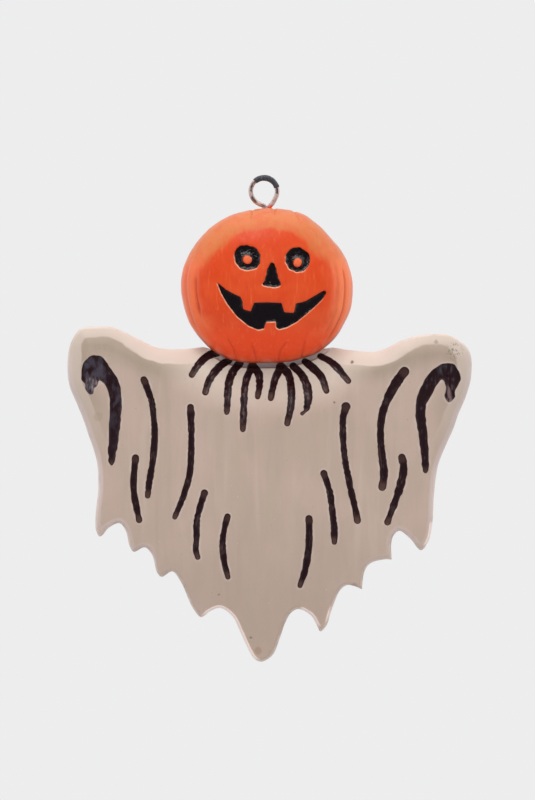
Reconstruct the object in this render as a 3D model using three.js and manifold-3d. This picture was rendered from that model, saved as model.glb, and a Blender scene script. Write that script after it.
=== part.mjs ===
// Ghost ornament: a flat-backed cast ghost with a pumpkin head, hung by a wire eye.
// Millimetres, +Z up, +X to the right as seen from the front, which faces -Y.
// The origin is the point under the top of the eye where a hook bears.

import * as THREE from 'three';
import { mergeVertices } from 'three/addons/utils/BufferGeometryUtils.js';
import Module from 'manifold-3d';

// Wire eye and its sleeve
const wireDiameter = 0.85;
const eyeRadius = 2.45; // centreline radius of the round top
const eyeStem = 0.7; // from the round's lowest point to the crown
const legSpacing = 0.95; // between the centrelines of the two legs
const legDepth = 9; // of the legs inside the head
const legBend = 0.85; // how far under the crown the legs begin to part
const eyeOpening = 130; // degrees of the eye that its two flanks take up
const sleeveClearance = 0.075; // between wire and sleeve, on the radius
const sleeveWall = 0.1;
const sleeveStart = 133; // degrees round the eye, from +X
const sleeveEnd = 16;
const sleeveTrim = 8; // degrees that the tool for its bore runs past each end
const boreClearance = 0.45; // round the pair of legs, on the radius

// Pumpkin head
const headOffset = 0.55; // its axis lies to the right of the eye's
const headHalfWidth = 15.9;
const headRise = 14.4; // centre to crown
const headFall = 14.3; // centre to chin
const headBulge = 10; // from the waist plane to the face
const backDepth = 5; // from the waist plane to the flat back
const backRound = 1.6; // how far the head draws in behind the waist plane
const upperRoundness = 2.0; // exponents of the outline above and below the centre
const lowerRoundness = 2.3;
const faceFlatness = 2.6; // exponent of the sections through the face
const ribCount = 12; // in the front half
const ribDepth = 0.5;
const ribFaceAngle = 38; // the face is smooth inside this angle
const ribFadeAngle = 14;

// Face recesses and their enamel
const recessDepth = 1.4;
const enamelSink = 0.6; // enamel below the skin of the head
const pupilRadius = 0.82;

// Robe
const robeSpan = 74.9; // across the arms
const robeLength = 55.2; // from the chin to the lowest hem tip
const robeBulge = 3.5; // from the waist plane to the chest
const neckDrop = 4.0; // how far the robe falls back at the neck
const neckReach = 11; // width of that slope
const armDrop = 1.6; // how far the robe falls back at the hands
const hemDrop = 1.4; // and at the hem
const hemSlopeStart = 0.35; // where that begins, as a share of the robe's length
const shoulderRoll = 3.2; // edge radii
const hemRoll = 0.5;
const hemRollStart = 0.58; // where the smaller radius is reached, as a share of the length
const rollMargin = 0.15; // the rolled edge stands this proud of the front
const robeChamfer = 0.4; // round the flat back
const foldPitch = 7.15; // between two soft folds
const foldHeight = 0.35;
const foldStart = 0.1; // where the soft folds begin and are full, as shares of the length
const foldFull = 0.33;
const seatGap = 0.3; // between head and robe
const neckRing = 1.1; // width of the sunk ring that shows under the head
const neckRingDepth = 1.2;

// Engraved strokes and their paint
const strokeWidth = 1.1; // of an even stroke
const strokeDepth = 1.0;
const paintSink = 0.15;
const fillGap = 0.1; // between paint or enamel and its walls and floor

// Neck pin
const pinDiameter = 2.0;
const pinInHead = 7.5;
const pinInRobe = 7.5;
const pinInset = 2.0; // pin axis in front of the flat back
const pinClearance = 0.15; // on the radius and at both ends

// Fineness of the round shapes
const wireSides = 8;
const wireSteps = 60;
const sleeveSteps = 12;
const roundSides = 16;
const headRows = 16;
const rollSteps = 3;
const foldSteps = 4; // spans of the robe's surface in one soft fold
const robeSpans = 18; // spans of it from top to bottom

// Levels that follow from the sizes above
const sleeveRadius = wireDiameter / 2 + sleeveClearance + sleeveWall;
const eyeCentre = sleeveRadius - eyeRadius;
const crownLevel = eyeCentre - eyeRadius - eyeStem;
const headLevel = crownLevel - headRise;
const neckLevel = headLevel - headFall;
const cutFront = -headBulge - backDepth; // depths that cutting tools run out to
const cutBack = backDepth + headBulge;

// The sizes that the outlines below are drawn at. Each outline stretches with the real sizes.
const drawn = { headHalfWidth: 15.9, headHeight: 28.7, robeSpan: 74.9, robeLength: 55.2 };

// Robe outline from the neck's left end round to its right end, counterclockwise as seen from
// the front. Each stretch is one smooth curve. X and Z are counted from the chin.
const robeStretches = [
  [
    [-11.7, 3.1], [-16.0, 2.6], [-20.5, 3.1], [-24.2, 4.9], [-28.4, 6.9], [-31.6, 7.1],
    [-34.7, 6.6], [-36.4, 4.3], [-37.0, 0.6], [-36.5, -3.9], [-35.1, -7.6], [-33.0, -12.9],
    [-31.5, -18.3], [-31.3, -23.5], [-31.8, -28.4], [-31.7, -31.1], [-30.9, -32.1],
    [-29.2, -30.5], [-27.3, -29.6], [-26.2, -31.0], [-25.5, -33.9], [-24.7, -34.9],
    [-22.6, -34.0], [-21.4, -35.4], [-20.5, -38.6], [-19.6, -39.6], [-17.5, -38.4],
    [-16.0, -40.5], [-13.9, -45.3], [-12.2, -47.0], [-10.5, -45.8], [-8.5, -45.1],
    [-6.7, -46.8], [-3.3, -53.3], [-1.1, -55.2], [1.0, -53.9], [3.2, -48.1], [5.8, -45.6],
    [8.1, -46.9], [9.8, -49.7], [11.1, -48.6], [12.5, -44.5], [14.8, -41.0], [17.6, -42.0],
  ],
  [[17.6, -42.0], [17.9, -39.4], [19.2, -37.1], [21.6, -36.3], [23.1, -36.5]],
  [
    [23.1, -36.5], [23.0, -33.3], [24.5, -31.1], [26.6, -32.7], [28.4, -34.7], [29.9, -33.0],
    [30.7, -29.4], [31.0, -24.6], [31.7, -19.1], [34.5, -12.4], [36.6, -6.4], [37.8, -2.8],
    [37.9, 1.2], [35.8, 3.9], [33.5, 5.4], [29.2, 5.4], [25.3, 4.5], [20.6, 2.3], [15.7, 2.5],
    [12.2, 3.0],
  ],
];

// The two wide hooks outside the other folds, as counterclockwise outlines from the chin
const hookOutlines = {
  left: [
    [-31.9, -4.6], [-31.0, -3.2], [-30.1, -3.7], [-28.9, -8.1], [-29.2, -14.8], [-28.7, -18.6],
    [-27.6, -14.8], [-26.8, -7.6], [-27.7, -2.7], [-30.3, 1.0], [-32.9, 1.1], [-34.2, -1.5],
    [-33.6, -4.0], [-32.6, -5.8],
  ],
  right: [
    [34.7, -5.3], [35.7, -2.8], [34.5, -0.3], [31.4, -0.6], [28.7, -4.0], [27.4, -8.3],
    [28.4, -16.5], [29.2, -20.3], [29.7, -19.4], [29.7, -13.7], [29.3, -8.0], [30.6, -5.3],
    [32.3, -3.0], [33.0, -4.6], [33.6, -7.1],
  ],
};

// Centrelines of the other folds, outermost first: X and Z from the chin, and the width as a
// share of an even stroke's
const foldStrokes = {
  left: [
    [
      [-22.7, -3.1, 1.15], [-21.9, -5.0, 1], [-20.8, -10.2, 0.95], [-21.0, -17.5, 1],
      [-22.0, -24.5, 0.85],
    ],
    [[-24.3, -17.5, 1.15], [-24.7, -21.9, 1.05], [-24.5, -24.6, 1], [-23.6, -29.0, 0.9]],
    [
      [-14.1, -8.1, 1.15], [-14.0, -16.1, 1], [-14.3, -20.6, 1], [-15.4, -24.4, 0.95],
      [-17.0, -28.4, 0.85],
    ],
    [[-11.5, -24.0, 1.05], [-12.9, -28.5, 1], [-13.2, -34.4, 0.95], [-12.8, -35.8, 0.8]],
    [[-7.3, -28.3, 1], [-8.2, -33.3, 1], [-7.9, -36.5, 0.95], [-7.2, -39.5, 0.8]],
  ],
  right: [
    [
      [25.3, -1.6, 1.4], [22.7, -5.7, 1.35], [21.1, -10.9, 1.2], [21.0, -14.4, 1.15],
      [21.6, -20.4, 1.35], [21.3, -22.8, 1.15],
    ],
    [[24.9, -17.4, 1.25], [25.3, -19.1, 1.35], [24.9, -21.6, 1.25], [22.3, -29.3, 1]],
    [
      [14.5, -8.0, 1.35], [14.1, -10.0, 1], [14.0, -13.1, 1], [14.4, -18.1, 1],
      [16.7, -29.0, 1],
    ],
    [[10.5, -20.4, 1.15], [11.3, -22.6, 1], [12.4, -30.2, 1], [12.4, -33.0, 0.9]],
    [[7.7, -28.7, 1.2], [7.8, -31.4, 1.15], [7.6, -35.1, 1.05], [6.1, -41.1, 0.8]],
  ],
};

// Gathers under the neck, from left to right. Two of them fork.
const gatherStrokes = [
  [[[-9.2, 2.1, 1.35], [-11.1, 1.3, 1.2], [-12.6, -0.2, 1.15], [-13.9, -2.1, 1]]],
  [[[-7.0, 0.6, 1.2], [-8.4, -0.3, 1.25], [-10.8, -3.5, 1.15], [-11.4, -5.4, 1]]],
  [[[-5.0, 0.1, 1.25], [-6.2, -1.5, 1.25], [-7.2, -5.7, 1.2], [-7.4, -9.1, 0.85]]],
  [
    [[-2.7, -0.6, 1.45], [-3.7, -2.6, 1.2], [-4.3, -8.7, 1.05], [-4.4, -12.2, 0.95]],
    [[-2.5, -0.6, 1.4], [-1.5, -2.0, 1.2], [-1.3, -3.9, 1.1], [-1.7, -6.2, 0.85]],
  ],
  [
    [[2.6, -0.7, 1.45], [1.6, -2.6, 1.2], [1.1, -4.6, 1], [0.6, -6.5, 0.85]],
    [[2.8, -0.7, 1.45], [4.0, -2.0, 1.25], [4.5, -4.6, 1.15], [4.5, -7.6, 1.1], [3.8, -11.1, 0.9]],
  ],
  [
    [
      [4.9, -0.5, 1.2], [6.3, -1.9, 1.25], [7.6, -5.0, 1.25], [7.3, -8.4, 1],
      [6.5, -9.3, 0.75],
    ],
  ],
  [[[7.1, 0.3, 1.25], [8.6, -1.0, 1.2], [10.0, -2.6, 1.15], [11.0, -5.1, 0.95]]],
  [[[9.9, 1.3, 1.05], [11.7, 0.4, 1.05], [13.1, -1.0, 1.15], [14.9, -3.3, 0.95]]],
];

// Face outlines, counterclockwise, from the centre of the head
const leftEyeOutline = [
  [-5.9, 5.6], [-5.8, 4.2], [-4.9, 3.1], [-3.3, 2.6], [-1.8, 3.3], [-1.1, 4.6], [-1.5, 6.1],
  [-2.9, 7.2], [-4.6, 7.2],
];
const leftPupil = [-3.6, 4.7];
const rightEyeOutline = [
  [3.4, 5.1], [3.5, 3.9], [4.3, 2.8], [5.9, 2.3], [7.4, 3.1], [8.0, 4.8], [7.2, 6.2],
  [5.6, 6.9], [4.1, 6.4],
];
const rightPupil = [5.6, 4.1];
const noseOutline = [
  [0.8, 4.2], [0.2, 2.9], [-0.4, 1.1], [-0.8, 0.1], [-0.1, -0.2], [1.1, -0.5], [2.2, -0.3],
  [2.4, 0.5], [1.8, 2.4], [1.3, 3.9],
];
const mouthOutline = [
  [-9.2, 0.4], [-8.5, -1.4], [-7.3, -3.5], [-5.5, -5.8], [-3.4, -7.5], [-1.6, -8.3],
  [-0.5, -8.0], [-0.1, -6.9], [1.6, -6.8], [1.7, -7.8], [2.2, -8.2], [3.6, -7.9], [5.4, -6.9],
  [7.0, -5.6], [8.8, -4.1], [10.3, -2.6], [10.9, -1.6], [10.4, -1.0], [8.8, -1.9],
  [7.0, -3.0], [5.3, -3.4], [4.9, -5.1], [3.2, -5.0], [2.7, -3.3], [0.2, -3.2],
  [-2.4, -3.2], [-3.0, -4.8], [-4.3, -4.7], [-4.4, -3.0], [-4.9, -2.1], [-5.8, -1.8],
  [-7.5, -0.8], [-8.6, 0.1],
];

const wasm = await Module();
wasm.setup();

// Small helpers

const { degToRad, lerp, smoothstep } = THREE.MathUtils;

function solidOf(geometry) {
  const bare = geometry.clone();
  bare.deleteAttribute('normal');
  bare.deleteAttribute('uv');
  const merged = mergeVertices(bare);
  const vertProperties = new Float32Array(merged.attributes.position.array);
  const triVerts = new Uint32Array(merged.index.array);
  return new wasm.Manifold(new wasm.Mesh({ numProp: 3, vertProperties, triVerts }));
}

function geometryOf(solid) {
  const mesh = solid.getMesh();
  const geometry = new THREE.BufferGeometry();
  geometry.setAttribute('position', new THREE.BufferAttribute(mesh.vertProperties, 3));
  geometry.setIndex(new THREE.BufferAttribute(mesh.triVerts, 1));
  geometry.computeVertexNormals();
  return geometry;
}

function piece(name, solid, colour, roughness, metalness = 0) {
  const material = new THREE.MeshStandardMaterial({ color: colour, roughness, metalness });
  const mesh = new THREE.Mesh(geometryOf(solid), material);
  mesh.name = name;
  return mesh;
}

const headStretch = new THREE.Vector2(
  headHalfWidth / drawn.headHalfWidth,
  (headRise + headFall) / drawn.headHeight,
);
const robeStretch = new THREE.Vector2(robeSpan / drawn.robeSpan, robeLength / drawn.robeLength);

function pointsOf(pairs, stretch) {
  return pairs.map(([x, z]) => new THREE.Vector2(x, z).multiply(stretch));
}

// Points along a smooth curve through the given ones, with one more between each two
function smoothOpen(points) {
  const curve = new THREE.CatmullRomCurve3(points.map((p) => new THREE.Vector3(p.x, p.y, 0)));
  return curve.getPoints(2 * (points.length - 1)).map((p) => new THREE.Vector2(p.x, p.y));
}

function smoothClosed(points) {
  const corners = points.map((p) => new THREE.Vector3(p.x, p.y, 0));
  const curve = new THREE.CatmullRomCurve3(corners, true);
  const ring = curve.getPoints(2 * points.length).map((p) => new THREE.Vector2(p.x, p.y));
  return ring.slice(0, -1);
}

// Unit vectors that point out of a counterclockwise outline, one at each of its points
function outwardNormals(outline) {
  const count = outline.length;
  return outline.map((point, i) => {
    const before = outline[(i + count - 1) % count];
    const after = outline[(i + 1) % count];
    const first = point.clone().sub(before).normalize();
    const second = after.clone().sub(point).normalize();
    const along = first.add(second).normalize();
    return new THREE.Vector2(along.y, -along.x);
  });
}

function grown(outline, amount) {
  const normals = outwardNormals(outline);
  return outline.map((point, i) => point.clone().addScaledVector(normals[i], amount));
}

// A straight-walled solid on an outline, between two depths. Y runs from front to back.
function prism(outline, front, back, holes = []) {
  const shape = new THREE.Shape(outline);
  shape.holes = holes;
  const geometry = new THREE.ExtrudeGeometry(shape, {
    depth: back - front,
    bevelEnabled: false,
    curveSegments: roundSides / 2,
  });
  geometry.rotateX(Math.PI / 2);
  geometry.translate(0, back, 0);
  return solidOf(geometry);
}

// A closed solid through rings of equal count, the first at the back and the last in front
function skinned(rings) {
  const count = rings[0].length;
  const positions = rings.flat().flatMap((p) => [p.x, p.y, p.z]);
  const flat = (ring) => ring.map((p) => new THREE.Vector2(p.x, p.z));
  const faces = [];
  for (let k = 0; k < rings.length - 1; k += 1) {
    for (let i = 0; i < count; i += 1) {
      const a = k * count + i;
      const b = k * count + (i + 1) % count;
      faces.push(a, b, b + count, a, b + count, a + count);
    }
  }
  for (const [a, b, c] of THREE.ShapeUtils.triangulateShape(flat(rings[0]), [])) {
    faces.push(a, c, b);
  }
  const last = (rings.length - 1) * count;
  for (const [a, b, c] of THREE.ShapeUtils.triangulateShape(flat(rings.at(-1)), [])) {
    faces.push(last + a, last + b, last + c);
  }
  const geometry = new THREE.BufferGeometry();
  geometry.setAttribute('position', new THREE.Float32BufferAttribute(positions, 3));
  geometry.setIndex(faces);
  return solidOf(geometry);
}

function cylinder(radius, low, high, x, y) {
  const geometry = new THREE.CylinderGeometry(radius, radius, high - low, roundSides);
  geometry.rotateX(Math.PI / 2);
  geometry.translate(x, y, (low + high) / 2);
  return solidOf(geometry);
}

function tube(curve, radius, steps) {
  const section = new THREE.Shape();
  section.absarc(0, 0, radius, 0, 2 * Math.PI);
  return solidOf(new THREE.ExtrudeGeometry(section, {
    steps,
    curveSegments: wireSides / 2,
    extrudePath: curve,
  }));
}

// Pumpkin head, about its own centre

const ribAngle = 180 / ribCount;

// Half-width or half-depth left at height z, as a share of the greatest
function sectionShare(z, roundness) {
  const reach = z > 0 ? headRise : headFall;
  return Math.max(1 - Math.abs(z / reach) ** roundness, 0) ** (1 / roundness);
}

// How far the surface is drawn in at a crease, from 0 on the crest of a rib
function creaseDepth(angle) {
  const side = smoothstep(Math.abs(angle), ribFaceAngle, ribFaceAngle + ribFadeAngle);
  const wave = (1 - Math.cos((angle / ribAngle) * 2 * Math.PI)) / 2;
  return ribDepth * side * wave;
}

// A point of the front skin. The angle runs from -90 at the left edge to 90 at the right, the
// height from -1 at the chin to 1 at the crown. A positive grow makes the head larger.
function headPoint(angle, height, grow) {
  const turn = degToRad(angle);
  const reach = height > 0 ? headRise : headFall;
  const roundness = height > 0 ? upperRoundness : lowerRoundness;
  const across = Math.abs(Math.sin(turn)) ** (2 / faceFlatness) * Math.sign(angle);
  const deep = Math.max(Math.cos(turn), 0) ** (2 / faceFlatness);
  const size = 1 - creaseDepth(angle) / headHalfWidth;
  const wide = (headHalfWidth + grow) * sectionShare(height * reach, roundness) * size;
  const far = (headBulge + grow) * sectionShare(height * reach, faceFlatness) * size;
  return new THREE.Vector3(across * wide, -deep * far, height * (reach + grow));
}

// The head's edge in the waist plane, counterclockwise from the chin
function headEdge(grow) {
  const heights = [];
  for (let row = 1; row < headRows; row += 1) {
    heights.push(-Math.cos((row / headRows) * Math.PI));
  }
  const right = heights.map((height) => headPoint(90, height, grow));
  const left = heights.toReversed().map((height) => headPoint(-90, height, grow));
  return [headPoint(0, -1, grow), ...right, headPoint(0, 1, grow), ...left];
}

function headSolid(grow, back = backDepth) {
  const columns = 2 * ribCount;
  const last = headRows;
  const positions = [];
  const faces = [];
  const at = (row, column) => {
    if (row === 0) return 0;
    if (row === last) return 1;
    return 2 + (row - 1) * (columns + 1) + column;
  };
  positions.push(headPoint(0, -1, grow), headPoint(0, 1, grow));
  for (let row = 1; row < last; row += 1) {
    for (let column = 0; column <= columns; column += 1) {
      const height = -Math.cos((row / last) * Math.PI);
      positions.push(headPoint(-90 + (column * ribAngle) / 2, height, grow));
    }
  }
  for (let row = 0; row < last; row += 1) {
    for (let column = 0; column < columns; column += 1) {
      const a = at(row, column);
      const b = at(row, column + 1);
      const c = at(row + 1, column + 1);
      const d = at(row + 1, column);
      if (row > 0) faces.push(a, b, c);
      if (row < last - 1) faces.push(a, c, d);
    }
  }
  // Behind the waist plane the wall draws in to the flat back
  const edge = headEdge(grow).map((p) => new THREE.Vector2(p.x, p.z));
  let rim = [at(0, 0)];
  for (let row = 1; row < last; row += 1) rim.push(at(row, columns));
  rim.push(at(last, 0));
  for (let row = last - 1; row > 0; row -= 1) rim.push(at(row, 0));
  for (let step = 1; step <= rollSteps; step += 1) {
    const turn = (step / rollSteps) * (Math.PI / 2);
    const start = positions.length;
    for (const p of grown(edge, backRound * (Math.cos(turn) - 1))) {
      positions.push(new THREE.Vector3(p.x, back * Math.sin(turn), p.y));
    }
    const next = rim.map((_, i) => start + i);
    for (let i = 0; i < rim.length; i += 1) {
      const j = (i + 1) % rim.length;
      faces.push(next[i], next[j], rim[j], next[i], rim[j], rim[i]);
    }
    rim = next;
  }
  for (const [a, b, c] of THREE.ShapeUtils.triangulateShape(edge, [])) {
    faces.push(rim[a], rim[c], rim[b]);
  }
  const geometry = new THREE.BufferGeometry();
  geometry.setFromPoints(positions);
  geometry.setIndex(faces);
  return solidOf(geometry);
}

// A face opening and the enamel in it, from one outline and the pupil that stands in it
function faceOpening(outline, pupil) {
  const disc = (radius) => {
    const [x, z] = [pupil[0] * headStretch.x, pupil[1] * headStretch.y];
    return new THREE.Path().absarc(x, z, radius, 0, 2 * Math.PI, true);
  };
  const holes = pupil ? [disc(pupilRadius)] : [];
  const clearHoles = pupil ? [disc(pupilRadius + fillGap)] : [];
  const cut = prism(outline, cutFront, 0, holes).subtract(headSolid(-recessDepth));
  const enamel = prism(grown(outline, -fillGap), cutFront, 0, clearHoles)
    .intersect(headSolid(-enamelSink))
    .subtract(headSolid(fillGap - recessDepth));
  return { cut, enamel };
}

const faceOpenings = {
  left_eye_fill: faceOpening(smoothClosed(pointsOf(leftEyeOutline, headStretch)), leftPupil),
  right_eye_fill: faceOpening(smoothClosed(pointsOf(rightEyeOutline, headStretch)), rightPupil),
  nose_fill: faceOpening(smoothClosed(pointsOf(noseOutline, headStretch))),
  mouth_fill: faceOpening(pointsOf(mouthOutline, headStretch)),
};

function pinHole() {
  const radius = pinDiameter / 2 + pinClearance;
  const low = -pinInRobe - pinClearance;
  return cylinder(radius, low, pinInHead + pinClearance, 0, backDepth - pinInset);
}

function pumpkinHead() {
  const legs = legSpacing / 2 + wireDiameter / 2 + boreClearance;
  let head = headSolid(0);
  for (const opening of Object.values(faceOpenings)) {
    head = head.subtract(opening.cut);
  }
  const bore = cylinder(legs, headRise - legDepth - boreClearance, headRise + legDepth, 0, 0);
  return head.subtract(bore).subtract(pinHole().translate(0, 0, -headFall));
}

// Robe, about the chin

// Depth of the robe's front before its soft folds
function robeFront(x, z) {
  const arm = armDrop * (x / (robeSpan / 2)) ** 2;
  const hem = hemDrop * smoothstep(-z / robeLength, hemSlopeStart, 1);
  const fromHead = Math.hypot(x / headHalfWidth, (z - headFall) / headFall) - 1;
  const neck = neckDrop * (1 - smoothstep(fromHead * headFall, 0, neckReach));
  return -robeBulge + Math.max(arm, hem) + neck;
}

function softFold(x, z) {
  const below = smoothstep(-z / robeLength, foldStart, foldFull);
  const beside = smoothstep(Math.abs(x), foldPitch / 2, foldPitch);
  return foldHeight * below * beside * (1 + Math.cos((x / foldPitch) * 2 * Math.PI)) / 2;
}

// A block whose front is the robe's front surface, moved back by an offset
function robeBlock(offset) {
  const span = foldPitch / foldSteps;
  const across = 2 * Math.ceil(robeSpan / 2 / span) + 2;
  const low = -1.05 * robeLength;
  const high = 0.2 * robeLength;
  const thickness = robeBulge + cutBack;
  const geometry = new THREE.BoxGeometry(
    across * span, thickness, high - low, across, 1, robeSpans,
  );
  geometry.translate(0, cutBack - thickness / 2, (low + high) / 2);
  const position = geometry.attributes.position;
  for (let i = 0; i < position.count; i += 1) {
    const x = position.getX(i);
    const z = position.getZ(i);
    if (position.getY(i) < 0) {
      position.setY(i, robeFront(x, z) + softFold(x, z) + offset);
    }
  }
  return solidOf(geometry);
}

// The outline with its rolled edges, standing proud of the front surface
function robeBlank() {
  const stretches = robeStretches.map((points) => smoothOpen(pointsOf(points, robeStretch)));
  const outline = stretches.flatMap((points, i) => (i < 2 ? points.slice(0, -1) : points));
  const normals = outwardNormals(outline);
  const down = outline.map((p) => smoothstep(-p.y / robeLength, 0, hemRollStart));
  const radii = down.map((share) => lerp(shoulderRoll, hemRoll, share));
  const moved = (i, inset) => outline[i].clone().addScaledVector(normals[i], -inset);
  const crest = outline.map((p, i) => {
    const inside = moved(i, radii[i]);
    return robeFront(inside.x, inside.y) - rollMargin;
  });
  const ring = (inset, depth) => outline.map((p, i) => {
    const at = moved(i, inset(i));
    return new THREE.Vector3(at.x, depth(i), at.y);
  });
  const rings = [
    ring(() => robeChamfer, () => backDepth),
    ring(() => 0, () => backDepth - robeChamfer),
  ];
  for (let step = 0; step <= rollSteps; step += 1) {
    const turn = (step / rollSteps) * (Math.PI / 2);
    rings.push(ring(
      (i) => radii[i] * (1 - Math.cos(turn)),
      (i) => crest[i] + radii[i] * (1 - Math.sin(turn)),
    ));
  }
  rings.push(ring((i) => radii[i], () => cutFront));
  return skinned(rings);
}

// The outline of a stroke with round ends, from its centreline and widths
function strokeOutline(stroke, stretch, grow) {
  const curve = new THREE.CatmullRomCurve3(stroke.map(([x, z, share]) => (
    new THREE.Vector3(x * stretch.x, z * stretch.y, (share * strokeWidth) / 2)
  )));
  const stations = curve.getPoints(2 * (stroke.length - 1));
  const left = [];
  const right = [];
  stations.forEach((station, i) => {
    const share = i / (stations.length - 1);
    const along = curve.getTangent(share).setZ(0).normalize();
    const half = station.z + grow;
    right.push(new THREE.Vector2(station.x + along.y * half, station.y - along.x * half));
    left.push(new THREE.Vector2(station.x - along.y * half, station.y + along.x * half));
  });
  const cap = (share, sign) => {
    const station = curve.getPoint(share);
    const along = curve.getTangent(share).setZ(0).normalize();
    const half = station.z + grow;
    return new THREE.Vector2(station.x + sign * along.x * half, station.y + sign * along.y * half);
  };
  return [...right, cap(1, 1), ...left.reverse(), cap(0, -1)];
}

// The sunk ring round the head's lower edge, down to a given depth
function neckRingSpace(floor) {
  const edge = headEdge(neckRing).map((p) => new THREE.Vector2(p.x, p.z + headFall));
  return prism(edge, cutFront, floor);
}

// A set of strokes cut to an even depth under the robe's surface, and the paint in them
function paintedStroke(outlines, clearOutlines) {
  const join = (list) => {
    const solids = list.map((outline) => prism(outline, cutFront, backDepth));
    return solids.reduce((all, next) => all.add(next));
  };
  const cut = join(clearOutlines).subtract(robeBlock(strokeDepth));
  const paint = join(outlines)
    .intersect(robeBlock(paintSink))
    .subtract(robeBlock(strokeDepth - fillGap))
    .subtract(neckRingSpace(cutBack));
  return { cut, paint };
}

function lineStroke(strokes, stretch) {
  const outlines = (grow) => strokes.map((stroke) => strokeOutline(stroke, stretch, grow));
  return paintedStroke(outlines(0), outlines(fillGap));
}

function hookStroke(pairs) {
  const outline = smoothClosed(pointsOf(pairs, robeStretch));
  return paintedStroke([outline], [grown(outline, fillGap)]);
}

const painted = {};
for (const side of ['left', 'right']) {
  painted[`fold_fill_${side}_1`] = hookStroke(hookOutlines[side]);
  foldStrokes[side].forEach((stroke, i) => {
    painted[`fold_fill_${side}_${i + 2}`] = lineStroke([stroke], robeStretch);
  });
}
gatherStrokes.forEach((strokes, i) => {
  painted[`gather_fill_${i + 1}`] = lineStroke(strokes, headStretch);
});

function robe() {
  const seat = headSolid(seatGap, backDepth + seatGap).translate(0, 0, headFall);
  const ring = neckRingSpace(neckDrop - robeBulge + neckRingDepth);
  let body = robeBlank().intersect(robeBlock(0)).subtract(seat).subtract(ring);
  for (const stroke of Object.values(painted)) {
    body = body.subtract(stroke.cut);
  }
  return body.subtract(pinHole());
}

// Wire eye

function onEye(degrees) {
  const turn = degToRad(degrees);
  return new THREE.Vector3(eyeRadius * Math.cos(turn), 0, eyeCentre + eyeRadius * Math.sin(turn));
}

// Part of the eye's round, clockwise between two angles
class EyeArc extends THREE.Curve {
  constructor(start, end) {
    super();
    this.start = start;
    this.end = end;
  }

  getPoint(share, target = new THREE.Vector3()) {
    return target.copy(onEye(lerp(this.start, this.end, share)));
  }
}

function wireLoop() {
  const start = 270 - eyeOpening / 2;
  const end = eyeOpening / 2 - 90;
  const round = new EyeArc(start, end);
  const reach = legBend + eyeStem;
  const leg = (side, level) => new THREE.Vector3(headOffset + (side * legSpacing) / 2, 0, level);
  const above = (side) => leg(side, crownLevel - legBend + reach);
  const path = new THREE.CurvePath();
  path.add(new THREE.LineCurve3(leg(-1, crownLevel - legDepth), leg(-1, crownLevel - legBend)));
  path.add(new THREE.CubicBezierCurve3(
    leg(-1, crownLevel - legBend),
    above(-1),
    onEye(start).addScaledVector(round.getTangent(0), -reach),
    onEye(start),
  ));
  path.add(round);
  path.add(new THREE.CubicBezierCurve3(
    onEye(end),
    onEye(end).addScaledVector(round.getTangent(1), reach),
    above(1),
    leg(1, crownLevel - legBend),
  ));
  path.add(new THREE.LineCurve3(leg(1, crownLevel - legBend), leg(1, crownLevel - legDepth)));
  return tube(path, wireDiameter / 2, wireSteps);
}

function loopSleeve() {
  const around = new EyeArc(sleeveStart, sleeveEnd);
  const through = new EyeArc(sleeveStart + sleeveTrim, sleeveEnd - sleeveTrim);
  const outer = tube(around, sleeveRadius, sleeveSteps);
  return outer.subtract(tube(through, sleeveRadius - sleeveWall, sleeveSteps));
}

// Assembly

const ornament = new THREE.Group();
ornament.add(piece('wire_loop', wireLoop(), 0xbaa9a7, 0.35, 1));
ornament.add(piece('loop_sleeve', loopSleeve(), 0x515257, 0.5));

const headGroup = new THREE.Group();
headGroup.position.set(headOffset, 0, headLevel);
headGroup.add(piece('pumpkin_head', pumpkinHead(), 0xdf552e, 0.3));
for (const [name, opening] of Object.entries(faceOpenings)) {
  headGroup.add(piece(name, opening.enamel, 0x0e090d, 0.15));
}
ornament.add(headGroup);

const robeGroup = new THREE.Group();
robeGroup.position.set(headOffset, 0, neckLevel);
robeGroup.add(piece('robe', robe(), 0xbca89a, 0.35));
for (const [name, stroke] of Object.entries(painted)) {
  robeGroup.add(piece(name, stroke.paint, 0x351f26, 0.4));
}
const pin = cylinder(pinDiameter / 2, -pinInRobe, pinInHead, 0, backDepth - pinInset);
robeGroup.add(piece('neck_pin', pin, 0x9a9a9e, 0.4, 1));
ornament.add(robeGroup);

export default ornament;
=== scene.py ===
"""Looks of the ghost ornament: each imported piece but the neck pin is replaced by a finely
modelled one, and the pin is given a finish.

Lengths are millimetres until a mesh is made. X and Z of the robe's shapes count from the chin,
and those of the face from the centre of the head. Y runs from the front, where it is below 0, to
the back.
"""

import math
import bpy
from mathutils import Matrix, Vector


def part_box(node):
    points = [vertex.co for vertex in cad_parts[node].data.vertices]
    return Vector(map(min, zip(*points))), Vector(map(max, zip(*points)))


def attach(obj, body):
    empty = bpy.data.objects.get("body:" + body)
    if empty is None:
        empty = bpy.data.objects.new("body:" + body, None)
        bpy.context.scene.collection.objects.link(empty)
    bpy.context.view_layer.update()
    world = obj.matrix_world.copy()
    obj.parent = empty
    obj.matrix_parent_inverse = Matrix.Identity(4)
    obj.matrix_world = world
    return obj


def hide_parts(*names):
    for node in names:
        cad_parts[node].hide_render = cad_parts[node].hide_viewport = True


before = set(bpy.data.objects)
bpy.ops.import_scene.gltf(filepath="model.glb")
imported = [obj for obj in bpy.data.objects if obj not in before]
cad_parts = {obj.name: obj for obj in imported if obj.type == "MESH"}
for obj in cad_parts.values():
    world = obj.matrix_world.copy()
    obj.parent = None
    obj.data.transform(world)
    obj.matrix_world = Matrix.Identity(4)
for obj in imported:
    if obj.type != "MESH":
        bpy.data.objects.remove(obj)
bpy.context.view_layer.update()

from types import SimpleNamespace

import bpy
import numpy as np
from bpy.props import FloatProperty, FloatVectorProperty, PointerProperty
from mathutils import Vector
from mathutils.geometry import delaunay_2d_cdt
from mathutils.kdtree import KDTree

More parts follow.
